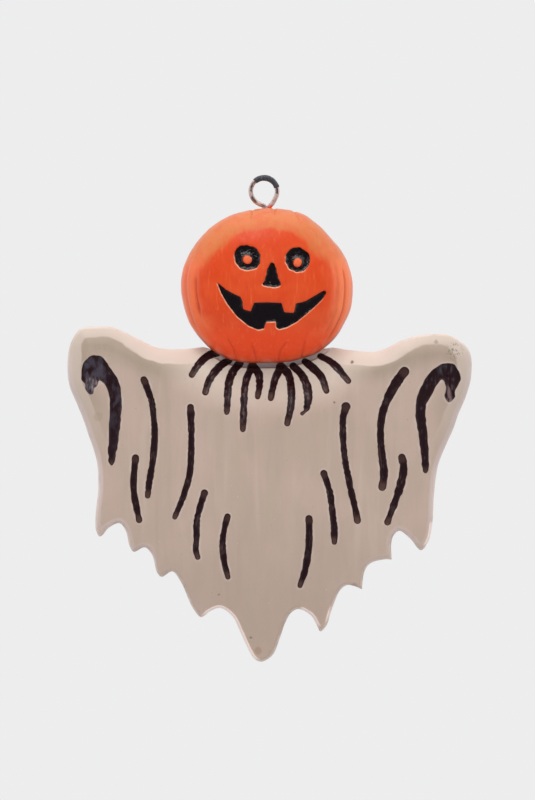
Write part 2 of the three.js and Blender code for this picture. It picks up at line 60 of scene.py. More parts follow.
bl_info = {
    "name": "Ghost ornament",
    "version": (1, 0, 0),
    "blender": (4, 5, 0),
    "location": "3D View > Sidebar > Ornament",
    "description": "Builds a painted cast ghost with a pumpkin head round its packed model",
    "category": "Add Mesh",
}

# Sizes read from the frame
MM = 0.001
head_low, head_high = (np.array(corner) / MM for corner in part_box("pumpkin_head"))
robe_low, robe_high = (np.array(corner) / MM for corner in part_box("robe"))
AXIS = (head_low[0] + head_high[0]) / 2
HALF_WIDTH = (head_high[0] - head_low[0]) / 2
BULGE = -head_low[1]
BACK = robe_high[1]
CHEST = -robe_low[1]
CHIN = head_low[2]
LENGTH = CHIN - robe_low[2]

# Half the width and the height of the head as its outline is drawn
DRAWN_WIDTH, DRAWN_HEIGHT = 15.9, 14.3

# From the chin up to the centre of the head, and that centre's level in the frame
FALL = DRAWN_HEIGHT * HALF_WIDTH / DRAWN_WIDTH
CENTRE = CHIN + FALL

# How far the robe's front falls back at the hands, at the hem and under the head
HAND_DROP, HEM_DROP, NECK_DROP = 1.6, 1.4, 4.0

# From the axis to a hand, and from the head's edge to where the fall under it ends
HAND_REACH, NECK_REACH = 37.45, 11

# The seat is cut round the head up to a height over the chin, and within a reach at each side
SEAT_TOP, SEAT_SIDE = 2.75, 14

# Width of one soft fold, and how far down the robe, as a share, its edge gets the hem's roll
FOLD_PITCH, ROLL_CHANGE = 7.15, 0.58

# Edge of the robe, in three stretches that meet at corners: X and Z
ROBE_STRETCHES = (
    (
        (-11.75, 3.05), (-16, 2.63), (-20.46, 2.96), (-24.33, 4.74), (-28.49, 6.62),
        (-31.54, 6.77), (-34.5, 6.36), (-36.2, 4.07), (-36.89, 0.93), (-36.63, -3.88),
        (-35.15, -7.58), (-34.08, -10.18), (-33.19, -12.77), (-31.45, -18.26), (-31.19, -23.12),
        (-31.67, -27.93), (-31.6, -30.89), (-30.89, -32.06), (-29.32, -30.45), (-27.25, -29.58),
        (-26.09, -30.95), (-25.38, -33.76), (-24.64, -34.85), (-22.57, -34.04), (-21.22, -35.41),
        (-20.39, -38.48), (-19.52, -39.5), (-17.48, -38.48), (-15.85, -40.52), (-13.73, -45.23),
        (-12.17, -46.95), (-10.54, -45.88), (-8.7, -45.25), (-6.42, -46.77), (-4.81, -49.95),
        (-3.15, -53.46), (-2.22, -54.76), (-1.05, -55.2), (0.09, -54.76), (1.18, -53.76),
        (2.4, -50.78), (3.37, -48.01), (4.53, -46.06), (5.85, -45.45), (8.2, -46.69),
        (9.25, -48.47), (9.86, -49.58), (11.03, -48.47), (11.71, -46.34), (12.39, -44.4),
        (13.5, -41.99), (14.76, -41.03), (16.19, -41.22), (17.56, -41.79),
    ),
    (
        (17.56, -41.79), (17.83, -39.22), (18.32, -37.83), (19.15, -36.96), (21.61, -36.26),
        (23.05, -36.3),
    ),
    (
        (23.05, -36.3), (22.98, -33.3), (23.4, -31.82), (24.46, -30.97), (26.71, -32.63),
        (28.47, -34.59), (29.86, -32.93), (30.6, -29.41), (30.86, -24.61), (31.6, -19.15),
        (32.86, -15.72), (34.41, -12.36), (35.43, -9.44), (36.78, -6.35), (37.78, -2.77),
        (37.8, 1.18), (37.09, 2.87), (35.93, 4), (33.48, 5.29), (29.19, 5.29), (25.44, 4.4),
        (20.61, 2.28), (15.65, 2.44), (12.21, 2.96),
    ),
)

# Broad hooked grooves at the arms, as outlines: X and Z
HOOKS = {
    "left": (
        (-32.04, -5.55), (-31.93, -4.62), (-31.49, -4.31), (-31.04, -3.22), (-30.1, -3.66),
        (-29.14, -5.55), (-28.92, -8.14), (-29.08, -11.29), (-29.23, -14.8), (-29.24, -17.4),
        (-29.12, -18.35), (-28.7, -18.85), (-28.25, -18.35), (-28.02, -17.4), (-27.57, -14.8),
        (-27.14, -11.29), (-26.84, -7.58), (-27.01, -5), (-27.73, -2.68), (-29.14, -0.59),
        (-30.34, 1), (-31.73, 1.48), (-32.93, 1.05), (-33.82, -0.09), (-34.23, -1.48),
        (-34.11, -3.24), (-33.56, -4.03), (-33.41, -5), (-32.63, -5.77),
    ),
    "right": (
        (34.63, -6.29), (34.65, -5.27), (35.19, -4.35), (35.74, -2.77), (35.41, -1.48),
        (34.5, -0.3), (33.12, 0), (31.45, -0.65), (29.93, -2.04), (28.66, -4.03), (27.81, -6.1),
        (27.44, -8.32), (27.57, -10.54), (27.97, -12.95), (28.42, -16.46), (28.66, -19.1),
        (28.84, -20.05), (29.3, -20.4), (29.72, -20.05), (29.86, -19.1), (29.86, -17.02),
        (29.66, -13.69), (29.3, -10.18), (29.3, -7.96), (29.71, -6.94), (30.64, -5.27),
        (31.49, -3.7), (32.3, -3), (32.82, -3.37), (33, -4.62), (32.93, -6.2), (33.6, -7.12),
    ),
}

# Long folds, from top to tail: X, Z and half-width
FOLDS = {
    "left": (
        (
            (-22.72, -3.05, 0.63), (-21.94, -5.03, 0.55), (-21.29, -7.1, 0.55),
            (-20.85, -10.18, 0.52), (-20.74, -13.5, 0.55), (-21.03, -17.48, 0.55),
            (-21.74, -22.2, 0.57), (-22.02, -24.49, 0.46),
        ),
        (
            (-24.27, -17.48, 0.63), (-24.49, -19.61, 0.54), (-24.66, -21.9, 0.57),
            (-24.46, -24.61, 0.55), (-23.59, -28.95, 0.5),
        ),
        (
            (-14.1, -8.14, 0.63), (-13.97, -11.47, 0.54), (-13.99, -16.09, 0.55),
            (-14.28, -20.59, 0.54), (-15.36, -24.42, 0.52), (-17.02, -28.4, 0.48),
        ),
        (
            (-11.47, -23.96, 0.59), (-12.21, -26.09, 0.54), (-12.88, -28.49, 0.54),
            (-12.99, -32.02, 0.54), (-13.15, -34.41, 0.52), (-12.77, -35.8, 0.44),
        ),
        (
            (-7.29, -28.3, 0.54), (-7.84, -30.52, 0.54), (-8.16, -33.3, 0.55),
            (-7.92, -36.48, 0.52), (-7.23, -39.5, 0.43),
        ),
    ),
    "right": (
        (
            (25.34, -1.57, 0.78), (24.05, -3.33, 0.85), (22.66, -5.74, 0.74),
            (21.64, -8.14, 0.68), (21.05, -10.91, 0.65), (21, -14.43, 0.63),
            (21.37, -18.09, 0.67), (21.64, -20.37, 0.74), (21.27, -22.85, 0.63),
        ),
        (
            (24.9, -17.39, 0.68), (25.25, -19.05, 0.74), (24.88, -21.64, 0.7),
            (23.86, -24.98, 0.61), (22.26, -29.32, 0.55),
        ),
        (
            (14.52, -8.05, 0.74), (14.1, -9.99, 0.54), (14.04, -13.13, 0.55),
            (14.43, -18.09, 0.55), (15.26, -22.38, 0.55), (16.74, -29.04, 0.55),
        ),
        (
            (10.49, -20.35, 0.63), (11.29, -22.57, 0.55), (11.93, -26.09, 0.55),
            (12.39, -30.16, 0.55), (12.43, -33.02, 0.5),
        ),
        (
            (7.71, -28.68, 0.67), (7.77, -31.45, 0.63), (7.58, -35.11, 0.59),
            (7.03, -38.3, 0.55), (6.1, -41.07, 0.43),
        ),
    ),
}

# Gathers under the neck, from left to right, two of them forked: X, Z and half-width
GATHERS = (
    (
        (
            (-9.16, 2.13, 0.74), (-11.1, 1.26, 0.67), (-12.58, -0.18, 0.63),
            (-13.88, -2.13, 0.55),
        ),
    ),
    (
        (
            (-7.03, 0.55, 0.67), (-8.42, -0.33, 0.7), (-9.9, -1.94, 0.65), (-10.82, -3.52, 0.63),
            (-11.38, -5.37, 0.55),
        ),
    ),
    (
        (
            (-5.01, 0.09, 0.68), (-6.2, -1.48, 0.7), (-6.94, -3.24, 0.7), (-7.23, -5.74, 0.65),
            (-7.42, -9.06, 0.48),
        ),
    ),
    (
        (
            (-2.66, -0.55, 0.81), (-3.7, -2.63, 0.65), (-4.16, -5.55, 0.63), (-4.31, -8.7, 0.59),
            (-4.42, -12.21, 0.52),
        ),
        (
            (-2.5, -0.55, 0.78), (-1.48, -2.04, 0.67), (-1.33, -3.88, 0.61), (-1.7, -6.2, 0.48),
        ),
    ),
    (
        (
            (2.55, -0.74, 0.81), (1.57, -2.63, 0.67), (1.09, -4.59, 0.55), (0.65, -6.47, 0.48),
        ),
        (
            (2.77, -0.74, 0.81), (3.98, -2.04, 0.68), (4.5, -4.62, 0.63), (4.48, -7.58, 0.61),
            (3.77, -11.1, 0.5),
        ),
    ),
    (
        (
            (4.87, -0.52, 0.65), (6.29, -1.94, 0.68), (7.27, -3.88, 0.7), (7.64, -6.29, 0.67),
            (7.34, -8.3, 0.52), (7.02, -8.9, 0.24), (6.5, -9.3, 0.38),
        ),
    ),
    (
        (
            (7.09, 0.33, 0.7), (8.6, -0.98, 0.67), (10.05, -2.59, 0.63), (10.97, -5.09, 0.52),
        ),
    ),
    (
        (
            (9.9, 1.33, 0.57), (11.65, 0.37, 0.59), (13.13, -0.96, 0.63), (14.95, -3.29, 0.52),
        ),
    ),
)

# Edges of the face's recesses: X and Z
FACE_OUTLINES = {
    "left_eye": (
        (-5.74, 4.07), (-4.9, 3.13), (-3.88, 2.7), (-2.77, 2.76), (-1.76, 3.27), (-1.22, 4.16),
        (-1.18, 5.09), (-1.52, 6.12), (-2.4, 6.9), (-3.33, 7.31), (-4.35, 7.34), (-5.29, 6.94),
        (-5.85, 6.29), (-6.03, 5.27),
    ),
    "right_eye": (
        (3.4, 4.25), (3.77, 3.37), (4.72, 2.57), (5.92, 2.33), (7.03, 2.77), (7.77, 3.61),
        (7.96, 4.81), (7.55, 5.9), (6.66, 6.64), (5.51, 6.94), (4.44, 6.68), (3.7, 5.98),
        (3.39, 5.05),
    ),
    "nose": (
        (0.78, 4.16), (0.3, 3.31), (-0.11, 2.22), (-0.44, 1.05), (-0.78, 0.11), (-0.11, -0.24),
        (1.07, -0.46), (2.15, -0.28), (2.5, 0.17), (2.26, 0.98), (1.89, 2.04), (1.63, 3.13),
        (1.28, 3.94),
    ),
    "mouth": (
        (-8.47, -1.44), (-7.31, -3.52), (-5.48, -5.85), (-3.4, -7.55), (-1.59, -8.31),
        (-0.48, -8.05), (-0.15, -6.86), (1.59, -6.75), (1.67, -7.83), (2.2, -8.2), (3.61, -7.86),
        (5.42, -6.86), (6.97, -5.62), (8.79, -4.07), (10.27, -2.59), (10.91, -1.57),
        (10.84, -1.09), (10.43, -0.98), (8.79, -1.94), (7.01, -2.98), (5.29, -3.4),
        (4.92, -5.09), (3.22, -4.98), (2.7, -3.27), (0.22, -3.16), (-2.4, -3.24), (-3, -4.83),
        (-4.33, -4.44), (-4.44, -3.03), (-4.88, -2.13), (-5.75, -1.79), (-7.49, -0.83),
        (-8.6, 0.09), (-9.19, 0.43),
    ),
}

# Edge of the head as seen from the front: X and Z
HEAD_OUTLINE = (
    (-0.4, -14.3), (3.3, -14.15), (6.1, -13.6), (9.2, -12.5), (11.2, -11.1), (12.9, -9.35),
    (14.3, -7.1), (15.35, -4.9), (15.8, -2.4), (15.9, 0.2), (15.6, 2.5), (15, 4.3), (13.8, 6.5),
    (12.2, 8.45), (10.3, 10.6), (7.6, 12.8), (5.2, 13.85), (2.4, 14.3), (0, 14.4), (-2.4, 14.25),
    (-4.6, 13.75), (-7.2, 12.85), (-9.8, 11.4), (-11.9, 9.4), (-13.8, 7), (-15.2, 4.2),
    (-15.85, 1.6), (-15.9, -0.8), (-15.4, -3.7), (-14.6, -6.4), (-13.2, -8.8), (-11.7, -10.6),
    (-9.6, -12.35), (-6.5, -13.8), (-3.8, -14.25),
)

# Creases between the ribs: share of the half-width, its spread, depth, lowest and highest level
RIBS = (
    (-0.72, 0.02, 0.06, -6, 2), (-0.83, 0.02, 0.34, -5, 1.4), (-0.83, 0.03, 0.12, -10, -4),
    (-0.945, 0.02, 0.18, -8, 4),
    (0.83, 0.04, 0.22, -9, 4), (0.915, 0.018, 0.3, -10, 3), (0.977, 0.012, 0.12, -7, 2),
)

# Notches of the crown and cracks by the chin: X, Z and half-width
CRACKS = (
    ((-2.63, 14.6, 0.03), (-2.75, 13.6, 0.02), (-3.05, 12.5, 0)),
    ((1.3, 14.6, 0.03), (1.4, 13.8, 0.02), (1.45, 13.1, 0)),
    ((4.9, 14.3, 0.04), (5.35, 13.3, 0.02), (6.1, 12.1, 0)),
    ((3.52, -10.64, 0.02), (2.59, -12.1, 0.03), (2.22, -13.7, 0.03)),
    ((-2.78, -11.2, 0.01), (-2.3, -12.4, 0.02), (-2.04, -13.6, 0.02)),
    ((-7.2, -10.1, 0.01), (-6.3, -11.7, 0.02), (-5.7, -13.2, 0.02)),
    ((7.03, -10.45, 0.01), (6.8, -11.8, 0.02), (6.5, -13.1, 0.02)),
)

# Centres of the two pupils
PUPILS = {"left_eye": (-3.61, 4.66), "right_eye": (5.62, 4.14)}

# Walls of the face's recesses and of the grooves: distance out from the edge, share of the depth
RECESS_GAPS = (-0.22, -0.12, -0.03, 0.06, 0.2)
RECESS_DEPTHS = (1, 0.7, 0.14, 0.04, 0)
GROOVE_GAPS = (-0.24, -0.16, -0.09, -0.02, 0.05, 0.14)
GROOVE_DEPTHS = (1, 0.9, 0.55, 0.1, 0.02, 0)

# Wall of the ring under the chin: distance out from the head's edge, share of the depth
RING_GAPS = (0.66, 0.76, 0.84, 0.96)
RING_DEPTHS = (1, 0.85, 0.25, 0)

# Tops of the paint and the enamel: distance out from the stroke's edge, depth under the front
PAINT_GAPS = (-0.5, -0.3, -0.16, -0.09, -0.02, 0.04)
PAINT_DEPTHS = (0.28, 0.24, 0.17, 0.12, 0.05, 0.005)
ENAMEL_GAPS = (-0.8, -0.5, -0.3, -0.1, -0.015)
ENAMEL_DEPTHS = (0.66, 0.63, 0.54, 0.44, 0.33)

# The bead that the paint forms on the ring: distance out from the stroke's edge, height
BEAD_GAPS = (-0.4, -0.16, 0, 0.04)
BEAD_HEIGHTS = (0.22, 0.17, 0.07, 0)

# How far paint and enamel stay off the floor under them, and how thin they get at the least
FLOOR_GAP, THINNEST = 0.02, 0.02

# Step of the points inside paint and enamel
FILM_STEP = 0.3

# Wire eye: level of its centre, and where its round begins and ends, in degrees
EYE_LEVEL = -1.85
EYE_ENDS = (205, -25)

# Legs of the eye: from their middle to each, from the eye's centre down to their tops, length
LEG_GAP, LEG_DROP, LEG_LENGTH = 0.45, 2.8, 9.2

# Sleeve: where it begins and ends on the eye, in degrees, and its radii outside and inside
SLEEVE_ENDS = (133, 16)
SLEEVE_OUTSIDE, SLEEVE_INSIDE = 0.535, 0.44

# Small marks on the robe: X, Z and radius in millimetres of the frame, shades, strength
ROBE_MARKS = (
    (31.8, -29.8, 0.5, (120, 112, 100), 0.5), (16.3, -33.5, 0.35, (96, 80, 74), 0.8),
    (13, -41, 0.28, (110, 84, 78), 0.7), (-30.6, -43.6, 1.1, (166, 150, 126), 0.5),
    (-8.3, -76.4, 0.3, (108, 90, 80), 0.7), (-2.4, -84.4, 0.3, (108, 90, 80), 0.7),
    (-1.1, -86.8, 0.9, (156, 122, 100), 0.5), (16.6, -74.9, 0.8, (160, 138, 122), 0.5),
)

# Places where the hem's edge gets a painted highlight: X, Z and radius in millimetres of the frame
HEM_HIGHLIGHTS = ((-3.6, -85.5, 4.5), (-7.5, -80.3, 4.5), (9.5, -79.5, 3.2), (31.5, -65.5, 3))

# Focal length of the camera for each metre of distance, and X and Z of its place in metres
LENS = 243.2
CAMERA_X, CAMERA_Z = 0.00065, -0.0405

# Radius and level of the floor in metres
FLOOR_RADIUS, FLOOR_LEVEL = 0.6, -0.25

# Lamps: name, place, point that they face, side in metres, level, and whether gloss shows them
LAMPS = (
    ("overhead", (0, 0, 0.5), (0, 0, -0.03), 0.6, 0.75, True),
    ("front", (0, -1.1, 0.4), (0, 0, -0.04), 0.9, 2.95, False),
    ("window", (-0.15, -0.6, 0.75), (0, 0, -0.04), 0.25, 7.0, True),
)


# Curves and distances in the plane


def smoothstep(value, low, high):
    """0 below the low value, 1 above the high one, and a smooth rise between them."""
    share = np.clip((value - low) / (high - low), 0, 1)
    return share * share * (3 - 2 * share)


def smooth_curve(corners, step, closed=False):
    """Points at about an even step along a centripetal curve through the corners."""
    corners = np.asarray(corners, float)
    count = len(corners)
    points = []
    for i in range(count if closed else count - 1):
        here, after = corners[i], corners[(i + 1) % count]
        before = corners[i - 1] if closed or i else 2 * here - after
        beyond = corners[(i + 2) % count] if closed or i + 2 < count else 2 * after - here
        chain = (before, here, after, beyond)
        first, middle, last = (
            math.sqrt(math.dist(a[:2], b[:2])) for a, b in zip(chain, chain[1:])
        )
        way = (after - here) / middle
        start = (here - before) / first - (after - before) / (first + middle) + way
        end = way - (beyond - here) / (middle + last) + (beyond - after) / last
        start, end = start * middle, end * middle
        steps = max(round(math.dist(here[:2], after[:2]) / step), 1)
        t = (np.arange(steps) / steps)[:, None]
        square = 3 * (after - here) - 2 * start - end
        cube = 2 * (here - after) + start + end
        points.append(here + start * t + square * t**2 + cube * t**3)
    if not closed:
        points.append(corners[-1:])
    return np.vstack(points)


def softened(corners, step, radius):
    """A closed outline with straight sides, whose corners are rounded over about the radius."""
    corners = np.asarray(corners, float)
    sides = []
    for here, after in zip(corners, np.roll(corners, -1, 0)):
        steps = max(round(math.dist(here, after) / step), 1)
        sides.append(here + (after - here) * (np.arange(steps) / steps)[:, None])
    dense = np.vstack(sides)
    reach = math.ceil(3 * radius / step)
    weights = np.exp(-0.5 * (np.arange(-reach, reach + 1) * step / radius) ** 2)
    weights /= weights.sum()
    turns = range(-reach, reach + 1)
    return sum(weight * np.roll(dense, turn, 0) for turn, weight in zip(turns, weights))


def outward(line, closed=True):
    """Unit vectors to the right of a line: out of it, where it is a counterclockwise outline."""
    if closed:
        along = np.roll(line, -1, 0) - np.roll(line, 1, 0)
    else:
        along = np.gradient(line, axis=0)
    along = along / np.linalg.norm(along, axis=1, keepdims=True)
    return np.c_[along[:, 1], -along[:, 0]]


def gap_to(points, line, widths=None, closed=True):
    """Distance of points to a finely divided line, less its half-width where widths are given."""
    tree = KDTree(len(line))
    for spot, (x, z) in enumerate(line.tolist()):
        tree.insert((x, z, 0), spot)
    tree.balance()
    spots = np.array([tree.find((x, z, 0))[1] for x, z in points.tolist()], int)
    gaps = np.full(len(points), np.inf)
    for starts in (spots - 1, spots):
        starts = starts % len(line) if closed else np.clip(starts, 0, len(line) - 2)
        ends = (starts + 1) % len(line)
        span, offset = line[ends] - line[starts], points - line[starts]
        share = np.clip((offset * span).sum(1) / (span**2).sum(1), 0, 1)
        gap = np.hypot(*(offset - share[:, None] * span).T)
        if widths is not None:
            gap = gap - widths[starts] - share * (widths[ends] - widths[starts])
        gaps = np.minimum(gaps, gap)
    return gaps


def is_inside(points, outline):
    """Whether each point lies in an outline, by the sides that a line to its right crosses."""
    inside = np.zeros(len(points), bool)
    x, z = points.T
    for (x1, z1), (x2, z2) in zip(outline, np.roll(outline, -1, 0)):
        if z1 != z2:
            crossed = (z1 > z) != (z2 > z)
            inside ^= crossed & (x < (x2 - x1) * (z - z1) / (z2 - z1) + x1)
    return inside


def ripple(points, cell, seed):
    """Smooth noise from -1 to 1, with one random value at each corner of a cell."""
    table = np.random.default_rng(seed).uniform(-1, 1, (64, 64))
    whole = np.floor(points / cell).astype(int)
    share = points / cell - whole
    share = share * share * (3 - 2 * share)
    total = 0
    for i in (0, 1):
        for j in (0, 1):
            weight = np.abs(1 - i - share[:, 0]) * np.abs(1 - j - share[:, 1])
            total = total + weight * table[(whole[:, 0] + i) % 64, (whole[:, 1] + j) % 64]
    return total


def slopes(measure, points, step):
    """How a measure of points rises along X and along Z."""
    nudges = np.array([step, 0]), np.array([0, step])
    return [(measure(points + nudge) - measure(points - nudge)) / (2 * step) for nudge in nudges]


class Outline:
    """A closed shape, from its counterclockwise edge. Its inside is at a distance below 0."""

    def __init__(self, edge):
        self.edge = np.asarray(edge, float)
        self.low, self.high = self.edge.min(0), self.edge.max(0)

    def distance(self, points):
        gap = gap_to(points, self.edge)
        return np.where(is_inside(points, self.edge), -gap, gap)

    def rings(self, amount):
        """Lines at an even distance outside the edge, or inside where the amount is below 0."""
        return [self.edge + outward(self.edge) * amount]


class Band:
    """A stroke with round ends, from a centreline and its half-widths."""

    def __init__(self, stations):
        self.line, self.half = stations[:, :2], stations[:, 2]
        wide = self.half[:, None]
        self.low, self.high = (self.line - wide).min(0), (self.line + wide).max(0)

    def distance(self, points):
        return gap_to(points, self.line, self.half, closed=False)

    def rings(self, amount):
        side = outward(self.line, closed=False)
        wide = (self.half + amount)[:, None]
        ends = []
        for end, turn in ((-1, 1), (0, -1)):
            along = np.array([-side[end, 1], side[end, 0]]) * turn
            angles = np.linspace(-90, 90, 11)[1:-1, None] * math.pi / 180
            reach = along * np.cos(angles) - side[end] * turn * np.sin(angles)
            ends.append(self.line[end] + reach * max(self.half[end] + amount, 0.02))
        right, left = self.line + side * wide, (self.line - side * wide)[::-1]
        return [np.vstack([right, ends[0], left, ends[1]])]


class Joined:
    """Shapes that run together into one, or one shape with others standing in it."""

    def __init__(self, shapes, holes=()):
        self.shapes, self.holes = shapes, holes
        self.low = np.min([shape.low for shape in shapes], 0)
        self.high = np.max([shape.high for shape in shapes], 0)

    def distance(self, points):
        gap = np.min([shape.distance(points) for shape in self.shapes], 0)
        for hole in self.holes:
            gap = np.maximum(gap, -hole.distance(points))
        return gap

    def rings(self, amount):
        outer = [ring for shape in self.shapes for ring in shape.rings(amount)]
        return outer + [ring for hole in self.holes for ring in hole.rings(-amount)]


def near(points, shapes, reach):
    """Distance to the nearest of the shapes, and the reach where all are further off."""
    gaps = np.full(len(points), float(reach))
    for shape in shapes:
        close = np.all((points > shape.low - reach) & (points < shape.high + reach), 1)
        if close.any():
            gaps[close] = np.minimum(gaps[close], shape.distance(points[close]))
    return gaps


# Meshes


def cut_triangles(flat, lines, slack):
    """Points and triangles that follow the lines, and which of the given points each one is."""
    made = delaunay_2d_cdt([Vector(point) for point in flat.tolist()], lines, [], 0, slack)
    points = np.array([point[:] for point in made[0]])
    faces = np.array([face for face in made[2] if len(face) == 3])
    return points, faces, made[3]


def turning(a, b, c):
    """Twice the area of triangles in the plane, above 0 where they run counterclockwise."""
    along, across = b - a, c - a
    return along[:, 0] * across[:, 1] - along[:, 1] * across[:, 0]


class Plan:
    """Points in the plane and the lines that their triangles have to follow."""

    def __init__(self):
        self.points, self.lines, self.count = [], [], 0

    def add(self, points):
        """Adds points that no line has to join."""
        self.points.append(points)
        self.count += len(points)

    def add_ring(self, ring, kept=None):
        """Adds a closed line. Where some of its points aren't kept, it is broken there."""
        kept = np.ones(len(ring), bool) if kept is None else kept
        places = np.full(len(ring), -1)
        places[kept] = np.arange(kept.sum()) + self.count
        self.add(ring[kept])
        for a, b in zip(places, np.roll(places, -1)):
            if a >= 0 and b >= 0:
                self.lines.append((int(a), int(b)))

    def add_rings(self, shape, amount, keep=None):
        """Adds the lines at one distance from a shape, where they hold it and pass the test."""
        for ring in shape.rings(amount):
            true = np.abs(shape.distance(ring) - amount) < 0.03
            self.add_ring(ring, true & keep(ring) if keep else true)

    def triangles(self, keep):
        """Points and triangles, counterclockwise, of those whose centres pass the test."""
        points, faces, _ = cut_triangles(np.vstack(self.points), self.lines, 1e-5)
        a, b, c = (points[faces[:, k]] for k in range(3))
        turn = turning(a, b, c)
        faces[turn < 0] = faces[turn < 0][:, ::-1]
        solid = (np.abs(turn) > 1e-7) & keep((a + b + c) / 3)
        faces = unpinched(faces[solid])
        used, inverse = np.unique(faces, return_inverse=True)
        return points[used], inverse.reshape(-1, 3)


def rim_edges(faces):
    """Edges that only one triangle has, each from its start to its end."""
    pairs = np.vstack([faces[:, [0, 1]], faces[:, [1, 2]], faces[:, [2, 0]]])
    known = set(map(tuple, pairs.tolist()))
    return [(a, b) for a, b in known if (b, a) not in known]


def unpinched(faces):
    """Leaves out the triangles round each point at which their edge would meet itself."""
    while True:
        starts = np.array([a for a, _ in rim_edges(faces)])
        points, counts = np.unique(starts, return_counts=True)
        if counts.max() == 1:
            return faces
        faces = faces[~np.isin(faces, points[counts > 1]).any(1)]


def main_part(faces):
    """The triangles that hang together with the most others."""
    labels = np.arange(faces.max() + 1)
    while True:
        least = labels[faces].min(1)
        before = labels.copy()
        for corner in range(3):
            np.minimum.at(labels, faces[:, corner], least)
        if (before == labels).all():
            break
    names, counts = np.unique(labels[faces[:, 0]], return_counts=True)
    return faces[labels[faces[:, 0]] == names[counts.argmax()]]


def rim_loops(faces):
    """The edge of a set of triangles as closed runs of points, the longest first."""
    after = dict(rim_edges(faces))
    loops = []
    while after:
        first, here = after.popitem()
        loop = [first]
        while here != first:
            loop.append(here)
            here = after.pop(here)
        loops.append(np.array(loop))
    return sorted(loops, key=len, reverse=True)


def hex_grid(low, high, step):
    """Points of an even grid, every other row of which is half a step further on."""
    rows = np.arange(low[1], high[1], step * math.sqrt(3) / 2)
    columns = np.arange(low[0], high[0], step)
    x, z = np.meshgrid(columns, rows)
    x = x + (np.arange(len(rows)) % 2)[:, None] * step / 2
    return np.c_[x.ravel(), z.ravel()]


def at_depth(flat, depth):
    """Points of the plane, moved to a depth."""
    return np.c_[flat[:, 0], np.full(len(flat), depth), flat[:, 1]]


def closed_body(front, faces, wall, flat_step):
    """Closes a front with wall rings behind its edge and a flat back over the last ring."""
    loop = rim_loops(faces)[0]
    points, triangles, total = [front], [faces], len(front)
    above = loop
    for ring in wall(front[loop]):
        below = np.arange(len(loop)) + total
        a, b = above, np.roll(above, -1)
        d, c = below, np.roll(below, -1)
        triangles += [np.c_[b, a, d], np.c_[b, d, c]]
        points.append(ring)
        total += len(loop)
        above = below
    outline = Outline(ring[:, [0, 2]])
    count = len(outline.edge)
    grid = hex_grid(outline.low, outline.high, flat_step)
    flat = np.vstack([outline.edge, grid[outline.distance(grid) < -0.6 * flat_step]])
    lines = [(i, (i + 1) % count) for i in range(count)]
    spots, cap, sources = cut_triangles(flat, lines, 1e-6)
    fresh = np.array([all(source >= count for source in given) for given in sources])
    place = total - 1 + np.cumsum(fresh)
    for spot in np.flatnonzero(~fresh):
        place[spot] = above[next(source for source in sources[spot] if source < count)]
    points.append(at_depth(spots[fresh], ring[0, 1]))
    ends = np.vstack(points)
    cap = place[cap[is_inside(spots[cap].mean(1), outline.edge)]]
    turn = turning(*(ends[cap[:, k]][:, [0, 2]] for k in range(3)))
    cap[turn > 0] = cap[turn > 0][:, ::-1]
    return ends, np.vstack([*triangles, cap[turn != 0]])


def closed_film(front, back, faces):
    """Closes a film between its front and back points, which share their triangles."""
    count = len(front)
    triangles = [faces, faces[:, ::-1] + count]
    for loop in rim_loops(faces):
        a, b = loop, np.roll(loop, -1)
        triangles += [np.c_[b, a, a + count], np.c_[b, a + count, b + count]]
    return np.vstack([front, back]), np.vstack(triangles)


def new_piece(name, points, faces, level, marks=None, shift=AXIS):
    """A piece at its place in the frame, from points that count from the shift and the level."""
    mesh = bpy.data.meshes.new(name)
    moved = (points + np.array([shift, 0, level])) * MM
    mesh.from_pydata(moved.tolist(), [], faces.tolist())
    mesh.polygons.foreach_set("use_smooth", np.ones(len(mesh.polygons), bool))
    mesh.set_sharp_from_angle(angle=math.radians(50))
    for title, values in (marks or {}).items():
        attribute = mesh.attributes.new(title, "FLOAT", "POINT")
        attribute.data.foreach_set("value", np.asarray(values, np.float32))
    mesh.update()
    piece = bpy.data.objects.new(name, mesh)
    bpy.context.scene.collection.objects.link(piece)
    return piece


def place_piece(piece, slot, material, *nodes):
    """Gives a piece its finish and its body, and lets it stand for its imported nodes."""
    piece.data.materials.clear()
    piece.data.materials.append(material)
    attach(piece, "root")
    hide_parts(*nodes)


# Forms of the head and the robe


